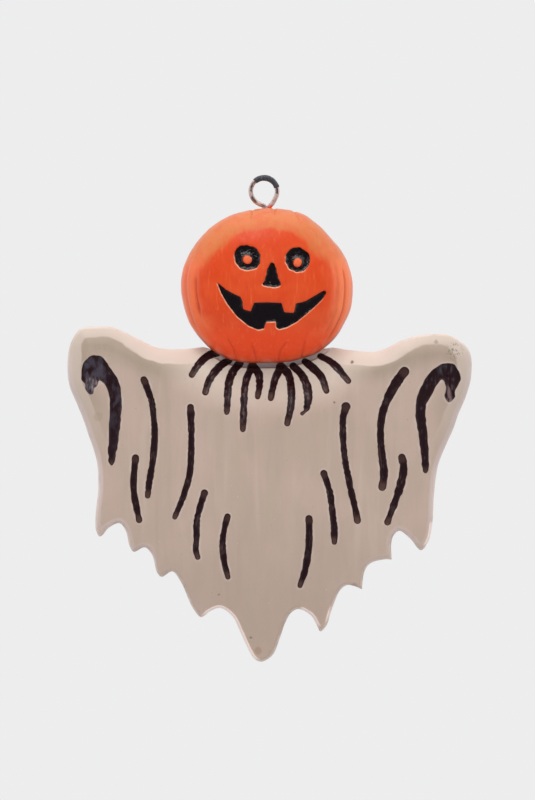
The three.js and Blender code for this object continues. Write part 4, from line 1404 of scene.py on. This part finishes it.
def pumpkin_paint(colours):
    """Orange paint with a gloss. Painted light makes it lighter round the rim, on the crown and at
    the right side, with painted highlights on the lower lips of the recesses and on the pupils;
    painted shade makes it darker in the creases and between the crown's facets.
    """
    # Heights here are millimetres from the centre of the head
    paint = Finish(bpy.data.materials.new("pumpkin_paint"))
    crease, share, rim = (paint.mark(name) for name in ("crease", "share", "rim"))
    height = paint.level("Z") - CENTRE
    clouds = paint.noise(4.5, 3.0, (1, 1, 1), 0.4)
    colour = paint.mix(colours.pumpkin, colours.pumpkin_warm, paint.mask(clouds, 0.35, 0.7))
    wavy = share + 0.2 * paint.noise(3.0, 4.0, (1, 1, 0.6)) - 0.1
    streaks = paint.noise(1.1, 3.0, (1, 1, 0.2), 0.4)
    # Painted sheen towards the rim: lighter and streaky at the sides
    sides = paint.mask(wavy + 0.08 * streaks, 0.78, 0.92) * paint.mask(height, -13, -7)
    colour = paint.mix(colour, colours.pumpkin_side, sides * 0.6)
    # Painted light at the right side, which makes up for the lamps coming from the left
    right = paint.mask(paint.level("X"), 10.5, 14.5) * paint.mask(height, -9, -4)
    colour = paint.mix(colour, linear(255, 138, 88), right * sides * 0.6)
    # Painted reflection of the light above: the crown is lighter and peach
    top = paint.mask(wavy, 0.68, 0.77) * paint.mask(height, 2.0, 7.5)
    colour = paint.mix(colour, colours.pumpkin_top, top * 0.85)
    # Painted shade between the crown's facets, in patches
    facets = top * paint.mask(paint.noise(2.0, 1.0, (1, 1, 0.5)), 0.47, 0.63)
    facets = facets * (0.15 + 0.4 * paint.mask(share, 1.02, 1.0))
    colour = paint.mix(colour, linear(216, 98, 52), facets)
    brow = paint.mask(share, 0.955, 0.99) * paint.mask(height, 4, 8)
    brow = brow * paint.mask(paint.level("Y"), 0.5, -2) * paint.mask(streaks, 0.35, 0.6)
    colour = paint.mix(colour, linear(190, 78, 40), brow * 0.35)
    chin = paint.mask(height, -6, -10.5) * paint.mask(share, 0.99, 0.9)
    colour = paint.mix(colour, linear(240, 68, 10), chin * 0.65)
    brushed = paint.noise(0.5, 2.0, (1, 1, 0.16), 0.4)
    front = 1 - 0.8 * paint.mask(height, 8, 13)
    light, dark = paint.mask(brushed, 0.55, 0.85), paint.mask(brushed, 0.42, 0.15)
    colour = paint.mix(colour, linear(236, 118, 76), light * front * 0.45)
    colour = paint.mix(colour, linear(190, 58, 28), dark * front * 0.3)
    # Painted shade in the creases
    sunk = paint.mask(crease, 0.05, 0.42) * (0.75 - 0.45 * paint.mask(height, 8, 10))
    colour = paint.mix(colour, linear(176, 52, 27), sunk)
    # Painted highlight on the lower lips of the recesses, pale where the light from above would
    # catch them
    edge_highlight = paint.mask(rim, 0.22, 0.06) * paint.mask(rim, -0.12, -0.02) * paint.mark("lip")
    edge_highlight = edge_highlight * paint.mask(paint.noise(0.9, 3.0), 0.2, 0.5)
    colour = paint.mix(colour, linear(248, 184, 152), edge_highlight * 0.85)
    # Painted highlight: the pupils are lighter
    colour = paint.mix(colour, linear(240, 122, 78), paint.mark("pupil") * 0.6)
    foot = paint.mask(share + 0.03 * paint.noise(0.7, 3.0), 0.985, 1.005)
    foot = foot * paint.mask(height, -8, -10)
    colour = paint.mix(colour, linear(140, 52, 34), foot * 0.6)
    colour = paint.mix(colour, linear(30, 12, 12), paint.mask(rim, -0.03, -0.08))
    rubbed = paint.mask(paint.rubbed(), 0.42, 0.8)
    back = paint.mix(colours.pumpkin, colours.pumpkin_side, rubbed * 0.4)
    colour = paint.mix(colour, back, paint.mask(paint.level("Y"), 3.6, 4.7))
    grain = paint.noise(0.2, 3.0)
    strokes = paint.noise(0.9, 3.0, (1, 1, 0.3), 0.3)
    paint.surface(
        Base_Color=colour,
        Roughness=0.24 + 0.2 * paint.noise(1.3, 3.0) + 0.3 * paint.mask(crease, 0.05, 0.3),
        Specular_IOR_Level=0.3,
        Normal=paint.bump(strokes, 0.09, paint.bump(grain, 0.02)),
    )
    return paint.owner


def face_enamel(colours):
    """Black gloss enamel, pooled unevenly by hand."""
    paint = Finish(bpy.data.materials.new("face_enamel"))
    dull = paint.mask(paint.noise(0.9, 3.0), 0.5, 0.8)
    colour = paint.mix(colours.enamel, linear(26, 20, 26), dull * 0.5)
    lumps = paint.noise(0.55, 2.0, (1, 1, 1), 0.5)
    paint.surface(
        Base_Color=colour,
        Roughness=0.1 + 0.1 * dull,
        Specular_IOR_Level=0.7,
        Normal=paint.bump(lumps, 0.16, paint.bump(paint.noise(0.2, 2.0), 0.03)),
    )
    return paint.owner


def fold_paint(colours, name, wash, rough):
    """Dark aubergine paint, brown where it lies thin, streaked along the stroke."""
    paint = Finish(bpy.data.materials.new(name))
    across, top, tail, gap = (paint.mark(mark) for mark in ("across", "top", "tail", "gap"))
    where = paint.along_stroke(top, across, 0.12)
    streaks = paint.noise(0.2, 2.0, where=where, warp=0.2)
    patches = paint.noise(1.5, 2.0)
    inside = paint.mask(gap, -0.05, -0.16) * paint.mask(top, 1.2, 2.8)
    flank = paint.mask(across + 0.6 * patches, -0.05, 0.4)
    thin = inside * flank * paint.mask(streaks, 0.46, 0.6) * paint.mask(patches, 0.47, 0.62)
    colour = paint.mix(colours.fold, colours.fold_thin, thin * wash)
    worn = inside * paint.mask(streaks + patches, 1.1, 1.25)
    colour = paint.mix(colour, linear(84, 62, 60), worn * 0.35)
    ends = 0.7 * paint.mask(tail, 1.4, 0.3) + paint.mask(top, 1.3, 0.5) * (0.5 - 0.5 * wash)
    colour = paint.mix(colour, linear(96, 68, 60), ends * paint.mask(gap, -0.05, -0.25))
    ridges = paint.noise(0.35, 2.0, where=where)
    paint.surface(
        Base_Color=colour,
        Roughness=rough + 0.2 * patches,
        Specular_IOR_Level=0.3,
        Normal=paint.bump(ridges, 0.1, paint.bump(paint.noise(0.25, 2.0), 0.015)),
    )
    return paint.owner


def hook_paint(colours):
    """The fold paint where it pools in the two broad hooks, with a painted grey sheen at the top
    of the left one and a painted glint at the top of the right one.
    """
    paint = Finish(bpy.data.materials.new("hook_paint"))
    across, top, tail, gap = (paint.mark(mark) for mark in ("across", "top", "tail", "gap"))
    where = paint.along_stroke(top, across, 0.2)
    streaks = paint.noise(0.45, 3.0, where=where, warp=0.4)
    blotches = paint.noise(1.6, 4.0, (1, 1, 0.7), 0.6)
    left = paint.mask(paint.level("X"), 0, -10)
    # Painted sheen: grey-blue patches over the upper part of the left hook
    top_sheen = paint.mask(paint.level("Z"), -52, -36) * left * paint.mask(blotches, 0.4, 0.62)
    colour = paint.mix(colours.fold, linear(82, 78, 90), top_sheen * 0.6)
    sheen = paint.mask(streaks, 0.5, 0.62) * paint.mask(paint.noise(1.1, 2.0), 0.46, 0.6)
    colour = paint.mix(colour, linear(92, 76, 86), sheen * paint.mask(gap, -0.1, -0.3) * 0.35)
    pale = left * paint.spot(-31.6, -37.6, 1.9, 0.7) * paint.mask(streaks, 0.42, 0.62)
    colour = paint.mix(colour, linear(150, 134, 136), pale * 0.8)
    tip = paint.spot(34.1, -39.6, 2.4, 0.6) * paint.mask(streaks, 0.42, 0.58)
    colour = paint.mix(colour, linear(132, 108, 110), tip * 0.8)
    # Painted glint: a blue-grey spot at the top of the right hook
    top_glint = paint.spot(33.4, -34.6, 1.8, 0.8) * paint.mask(blotches, 0.42, 0.58)
    colour = paint.mix(colour, linear(100, 102, 110), top_glint * 0.8)
    ends = paint.mask(tail, 1.6, 0.3) * paint.mask(gap, -0.02, -0.2)
    colour = paint.mix(colour, linear(88, 64, 56), ends * 0.6)
    paint.surface(
        Base_Color=colour,
        Roughness=0.18 + 0.3 * blotches,
        Specular_IOR_Level=0.35,
        Normal=paint.bump(streaks, 0.16, paint.bump(blotches, 0.2)),
    )
    return paint.owner


def worn_wire(colours):
    """Plated steel wire, dulled in spots, with the head's paint on the foot of its right leg."""
    metal = Finish(bpy.data.materials.new("worn_wire"))
    dull = metal.mask(metal.noise(0.6, 3.0), 0.42, 0.7)
    colour = metal.mix(colours.wire, linear(168, 144, 138), dull * 0.5)
    scratches = metal.noise(0.12, 2.0, (1, 1, 0.15))
    colour = metal.mix(colour, linear(240, 232, 230), metal.mask(scratches, 0.6, 0.8) * 0.5)
    chalky = metal.mask(metal.noise(1.6, 2.0), 0.42, 0.56)
    foot = metal.mask(metal.level("Z") + 0.8 * metal.noise(0.5, 2.0), -3.8, -4.5)
    foot = foot * metal.mask(metal.level("X"), 0.4, 0.7)
    colour = metal.mix(colour, colours.pumpkin, foot)
    metal.surface(
        Base_Color=colour,
        Metallic=(1 - foot) * (1 - 0.6 * chalky),
        Roughness=0.3 + 0.15 * dull + 0.2 * chalky,
        Specular_Tint=(0.86, 0.76, 0.76),
        Normal=metal.bump(scratches, 0.012),
    )
    return metal.owner


def dark_sleeve(colours):
    """Charcoal shrink sleeve, scuffed pale where a hook bears on it."""
    rubber = Finish(bpy.data.materials.new("dark_sleeve"))
    scuffs = rubber.mask(rubber.noise(0.3, 3.0, (1, 1, 0.5)), 0.52, 0.7)
    colour = rubber.mix(colours.sleeve, linear(112, 112, 120), scuffs * 0.4)
    rubber.surface(
        Base_Color=colour,
        Roughness=0.42 + 0.3 * rubber.noise(0.5, 2.0),
        Normal=rubber.bump(rubber.noise(0.3, 3.0), 0.05),
    )
    return rubber.owner


def pin_steel(colours):
    """Drawn steel of the hidden pin, with lines round it from the die."""
    metal = Finish(bpy.data.materials.new("pin_steel"))
    lines = metal.noise(0.15, 2.0, (0.1, 0.1, 1))
    colour = metal.mix(linear(168, 166, 164), linear(118, 112, 108), metal.mask(lines, 0.4, 0.7))
    metal.surface(
        Base_Color=colour,
        Metallic=1.0,
        Roughness=0.28 + 0.2 * lines,
        Normal=metal.bump(lines, 0.01),
    )
    return metal.owner


# Sizes and colours that a user would change


def size(name, description, default):
    """A length that a user may change, from its default in millimetres."""
    return FloatProperty(
        name=name, description=description, default=default * MM, min=0, precision=5, unit="LENGTH"
    )


def shade(name, description, *shades):
    """A colour that a user may change."""
    return FloatVectorProperty(
        name=name, description=description, default=linear(*shades), size=3, min=0, max=1,
        subtype="COLOR",
    )


class RobeSizes(bpy.types.PropertyGroup):
    shoulder_roll: size("Shoulder roll", "Width of the rolled edge at the shoulders", 3.2)
    hem_roll: size("Hem roll", "Width of the rolled edge at the hem", 0.5)
    hem_fall: size("Hem fall", "Depth of the rolled edge at the hem", 1.5)
    fold_height: size("Soft folds", "Height of the soft folds of the lower robe", 0.35)
    groove_depth: size("Groove depth", "Depth of the cut folds", 1.0)
    seat_lap: size("Seat lap", "How far the seat reaches in under the head's rim", 0.08)
    ridge_height: size("Ridge", "Height of the ridge inside the shoulders' rolled edge", 0.3)
    ring_depth: size("Ring depth", "Depth of the ring round the head at the chin", 1.2)


class HeadSizes(bpy.types.PropertyGroup):
    flatness: FloatProperty(
        name="Flatness", description="How flat the face is, where 2 is round", default=2.6, min=2
    )
    recess_depth: size("Face depth", "Depth of the eyes, nose and mouth", 1.4)
    pupil_radius: size("Pupil radius", "Radius of the pupils", 0.78)
    back_round: size("Back edge", "Radius of the rounded edge of the back", 1.1)


class EyeSizes(bpy.types.PropertyGroup):
    eye_radius: size("Eye radius", "Radius of the wire eye's centreline", 2.45)
    wire_diameter: size("Wire", "Diameter of the wire", 0.85)


class OrnamentColours(bpy.types.PropertyGroup):
    robe: shade("Robe", "Main colour of the robe", 186, 165, 150)
    robe_warm: shade("Robe, warm", "Warmer patches of the robe", 192, 169, 156)
    pumpkin: shade("Pumpkin", "Main colour of the head", 217, 71, 30)
    pumpkin_warm: shade("Pumpkin, warm", "Brighter patches of the head", 222, 82, 38)
    pumpkin_side: shade("Pumpkin sides", "Colour towards the head's rim", 244, 126, 78)
    pumpkin_top: shade("Pumpkin top", "Colour of the head's crown", 209, 118, 62)
    enamel: shade("Face", "Enamel in the eyes, nose and mouth", 12, 5, 11)
    fold: shade("Folds", "Paint in the folds", 38, 19, 24)
    fold_thin: shade("Folds, thin", "The folds' paint where it lies thin", 126, 104, 104)
    wire: shade("Wire", "Metal of the wire eye", 218, 198, 192)
    sleeve: shade("Sleeve", "Sleeve over the wire eye", 62, 63, 70)


class StageSettings(bpy.types.PropertyGroup):
    distance: FloatProperty(
        name="Camera distance", description="From the camera to the ornament", default=1,
        min=0.3, unit="LENGTH",
    )
    light: FloatProperty(
        name="Light", description="Level of the lamps and the surround", default=1, min=0
    )
    backdrop: shade("Backdrop", "Background behind the ornament", 237, 237, 238)
    floor: shade("Floor", "Pale floor under the ornament", 226, 226, 227)


def in_millimetres(group):
    """The numbers of a property group by name, with its lengths in millimetres."""
    sizes = SimpleNamespace()
    for name in group.__annotations__:
        unit = group.bl_rna.properties[name].unit
        setattr(sizes, name, getattr(group, name) / (MM if unit == "LENGTH" else 1))
    return sizes


def forms(scene):
    """The forms of the head and the robe at the scene's sizes."""
    head = HeadForm(in_millimetres(scene.ghost_head))
    return head, RobeForm(in_millimetres(scene.ghost_robe), head)


# Operators


class GHOST_OT_stage(bpy.types.Operator):
    """Sets the camera, the floor, the lamps and the surround"""

    bl_idname = "ghost.stage"
    bl_label = "Stage"

    def execute(self, context):
        settings = context.scene.ghost_stage
        view = context.scene.view_settings
        view.view_transform = "Standard"
        camera = bpy.data.cameras.new("camera")
        camera.lens = LENS * settings.distance
        camera.clip_start, camera.clip_end = 0.01, 10
        stand = bpy.data.objects.new("camera", camera)
        stand.location = (CAMERA_X, -settings.distance, CAMERA_Z)
        stand.rotation_euler = (math.pi / 2, 0, 0)
        context.scene.collection.objects.link(stand)
        context.scene.camera = stand
        for name, place, aim, side, level, mirrored in LAMPS:
            lamp = self.add_lamp(context, name, Vector(place), Vector(aim), side)
            lamp.data.energy = level * settings.light * math.pi * side**2
            lamp.visible_glossy = mirrored
        self.add_floor(context, settings)
        self.light_world(context, settings)
        return {"FINISHED"}

    def add_lamp(self, context, name, place, aim, side):
        lamp = bpy.data.lights.new(name, "AREA")
        lamp.shape = "SQUARE"
        lamp.size = side
        stand = bpy.data.objects.new(name, lamp)
        stand.location = place
        stand.rotation_euler = (aim - place).to_track_quat("-Z", "Y").to_euler()
        stand.visible_camera = False
        context.scene.collection.objects.link(stand)
        return stand

    def add_floor(self, context, settings):
        turns = np.arange(96) / 96 * 2 * math.pi
        corners = [
            (FLOOR_RADIUS * math.cos(turn), FLOOR_RADIUS * math.sin(turn), FLOOR_LEVEL)
            for turn in turns
        ]
        mesh = bpy.data.meshes.new("floor")
        mesh.from_pydata(corners, [], [tuple(range(96))])
        floor = bpy.data.objects.new("floor", mesh)
        finish = Finish(bpy.data.materials.new("floor"))
        cloud = finish.noise(60, 3.0)
        finish.surface(
            Base_Color=finish.mix(settings.floor, shaded(settings.floor, 0.96), cloud),
            Roughness=0.8,
        )
        mesh.materials.append(finish.owner)
        floor.visible_glossy = False
        context.scene.collection.objects.link(floor)

    def light_world(self, context, settings):
        surround = Finish(bpy.data.worlds.new("surround"))
        context.scene.world = surround.owner

        def ray(kind):
            return surround.node("ShaderNodeLightPath", output=kind)

        way = surround.node("ShaderNodeTexCoord", output="Generated")
        ahead = surround.node("ShaderNodeSeparateXYZ", None, {"Vector": way}, "Y")
        above = surround.node("ShaderNodeSeparateXYZ", None, {"Vector": way}, "Z")
        beside = surround.mask(ahead, -0.55, -0.28)
        behind = surround.mask(ahead, 0.0, 0.3)
        over = surround.mask(above, 0.3, 0.85)
        below = surround.mask(above, -0.08, -0.45)
        round_about = 0.1 + 0.8 * behind * (1 - 0.75 * below)
        round_about += beside * (1 - behind) * (1.05 + 0.25 * over - 0.9 * below)
        seen = ray("Is Camera Ray")
        colour = surround.mix((1, 1, 1), settings.backdrop, seen)
        level = seen + (1 - seen) * round_about * settings.light
        surround.surface(Color=colour, Strength=level)


class GHOST_OT_wire(bpy.types.Operator):
    """Makes the wire eye with both legs"""

    bl_idname = "ghost.wire"
    bl_label = "Wire eye"

    def execute(self, context):
        points, faces = wire_mesh(in_millimetres(context.scene.ghost_eye))
        piece = new_piece("wire_eye", points, faces, 0, shift=0)
        place_piece(piece, "wire", worn_wire(context.scene.ghost_colours), "wire_loop")
        return {"FINISHED"}


class GHOST_OT_sleeve(bpy.types.Operator):
    """Makes the sleeve on the wire eye"""

    bl_idname = "ghost.sleeve"
    bl_label = "Sleeve"

    def execute(self, context):
        points, faces = sleeve_mesh(in_millimetres(context.scene.ghost_eye))
        piece = new_piece("eye_sleeve", points, faces, 0, shift=0)
        place_piece(piece, "sleeve", dark_sleeve(context.scene.ghost_colours), "loop_sleeve")
        return {"FINISHED"}


class GHOST_OT_head(bpy.types.Operator):
    """Makes the pumpkin head with its recessed face"""

    bl_idname = "ghost.head"
    bl_label = "Pumpkin head"

    def execute(self, context):
        head, _ = forms(context.scene)
        points, faces, marks = head_mesh(head, face_shapes(head.sizes))
        piece = new_piece("ghost_head", points, faces, CENTRE, marks)
        paint = pumpkin_paint(context.scene.ghost_colours)
        place_piece(piece, "pumpkin_paint", paint, "pumpkin_head")
        return {"FINISHED"}


class GHOST_OT_face(bpy.types.Operator):
    """Pours the enamel of the eyes, nose and mouth"""

    bl_idname = "ghost.face"
    bl_label = "Face enamel"

    def execute(self, context):
        head, _ = forms(context.scene)
        enamel = face_enamel(context.scene.ghost_colours)

        def front(flat, gap):
            return head.skin(flat)[:, 1] + np.interp(gap, ENAMEL_GAPS, ENAMEL_DEPTHS)

        def back(flat, gap):
            sunk = np.interp(gap, RECESS_GAPS, RECESS_DEPTHS) * head.sizes.recess_depth
            return head.skin(flat)[:, 1] + sunk - FLOOR_GAP

        for name, shape in face_shapes(head.sizes).items():
            points, faces, _, _ = film(shape, ENAMEL_GAPS, front, back)
            piece = new_piece(name.replace("_fill", "_enamel"), points, faces, CENTRE)
            place_piece(piece, "face_enamel", enamel, name)
        return {"FINISHED"}


class GHOST_OT_robe(bpy.types.Operator):
    """Makes the robe with its grooves, seat and ragged hem"""

    bl_idname = "ghost.robe"
    bl_label = "Robe"

    def execute(self, context):
        _, robe = forms(context.scene)
        strokes = [*fold_strokes().values(), *gather_strokes().values()]
        points, faces, marks = robe_mesh(robe, strokes)
        piece = new_piece("ghost_robe", points, faces, CHIN, marks)
        place_piece(piece, "robe_paint", robe_paint(context.scene.ghost_colours), "robe")
        return {"FINISHED"}


def pour_paint(context, strokes, finish_of):
    """Makes the paint of some strokes, over a robe with the grooves of all strokes."""
    _, robe = forms(context.scene)
    grooves = [*fold_strokes().values(), *gather_strokes().values()]
    head_gap = 0.4
    for name, shape in strokes.items():
        points, faces, flat, gap = film(
            shape,
            PAINT_GAPS,
            robe.painted,
            lambda flat, gap: robe.carved(flat, grooves) - FLOOR_GAP,
            keep=lambda centres: robe.from_head(centres) > head_gap,
            guide=robe.round_head(head_gap),
        )
        marks = doubled(stroke_marks(shape, flat, gap))
        piece = new_piece(name.replace("_fill", "_paint"), points, faces, CHIN, marks)
        place_piece(piece, "fold_paint", finish_of(name), name)


class GHOST_OT_folds(bpy.types.Operator):
    """Pours the paint of the two hooks and the ten long folds"""

    bl_idname = "ghost.folds"
    bl_label = "Folds"

    def execute(self, context):
        colours = context.scene.ghost_colours
        hook, fold = hook_paint(colours), fold_paint(colours, "fold_paint", 0.2, 0.22)
        pour_paint(context, fold_strokes(), lambda name: hook if name.endswith("_1") else fold)
        return {"FINISHED"}


class GHOST_OT_gathers(bpy.types.Operator):
    """Pours the paint of the gathers under the neck"""

    bl_idname = "ghost.gathers"
    bl_label = "Gathers"

    def execute(self, context):
        thin = fold_paint(context.scene.ghost_colours, "gather_paint", 0.8, 0.2)
        pour_paint(context, gather_strokes(), lambda name: thin)
        return {"FINISHED"}


class GHOST_OT_pin(bpy.types.Operator):
    """Finishes the pin that joins head and robe"""

    bl_idname = "ghost.pin"
    bl_label = "Neck pin"

    def execute(self, context):
        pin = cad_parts["neck_pin"]
        pin.data.materials.clear()
        pin.data.materials.append(pin_steel(context.scene.ghost_colours))
        return {"FINISHED"}


# The order in which the steps run and the panel lists them
OPERATORS = (
    GHOST_OT_stage, GHOST_OT_wire, GHOST_OT_sleeve, GHOST_OT_head, GHOST_OT_face, GHOST_OT_robe,
    GHOST_OT_folds, GHOST_OT_gathers, GHOST_OT_pin,
)

# Settings by the name that they have on the scene
GROUPS = {
    "ghost_robe": RobeSizes, "ghost_head": HeadSizes, "ghost_eye": EyeSizes,
    "ghost_colours": OrnamentColours, "ghost_stage": StageSettings,
}


class GHOST_PT_ornament(bpy.types.Panel):
    """Steps and settings of the ornament"""

    bl_idname = "GHOST_PT_ornament"
    bl_label = "Ghost ornament"
    bl_space_type = "VIEW_3D"
    bl_region_type = "UI"
    bl_category = "Ornament"

    def draw(self, context):
        for name, group in GROUPS.items():
            box = self.layout.box()
            for setting in group.__annotations__:
                box.prop(getattr(context.scene, name), setting)
        for operator in OPERATORS:
            self.layout.operator(operator.bl_idname)


def register():
    for group in (*GROUPS.values(), *OPERATORS, GHOST_PT_ornament):
        bpy.utils.register_class(group)
    for name, group in GROUPS.items():
        setattr(bpy.types.Scene, name, PointerProperty(type=group))


def unregister():
    for name in GROUPS:
        delattr(bpy.types.Scene, name)
    for group in (GHOST_PT_ornament, *OPERATORS[::-1], *list(GROUPS.values())[::-1]):
        bpy.utils.unregister_class(group)


def main():
    register()
    for operator in OPERATORS:
        step = operator.bl_idname.split(".")[1]
        getattr(bpy.ops.ghost, step)()


if __name__ == "__main__":
    main()
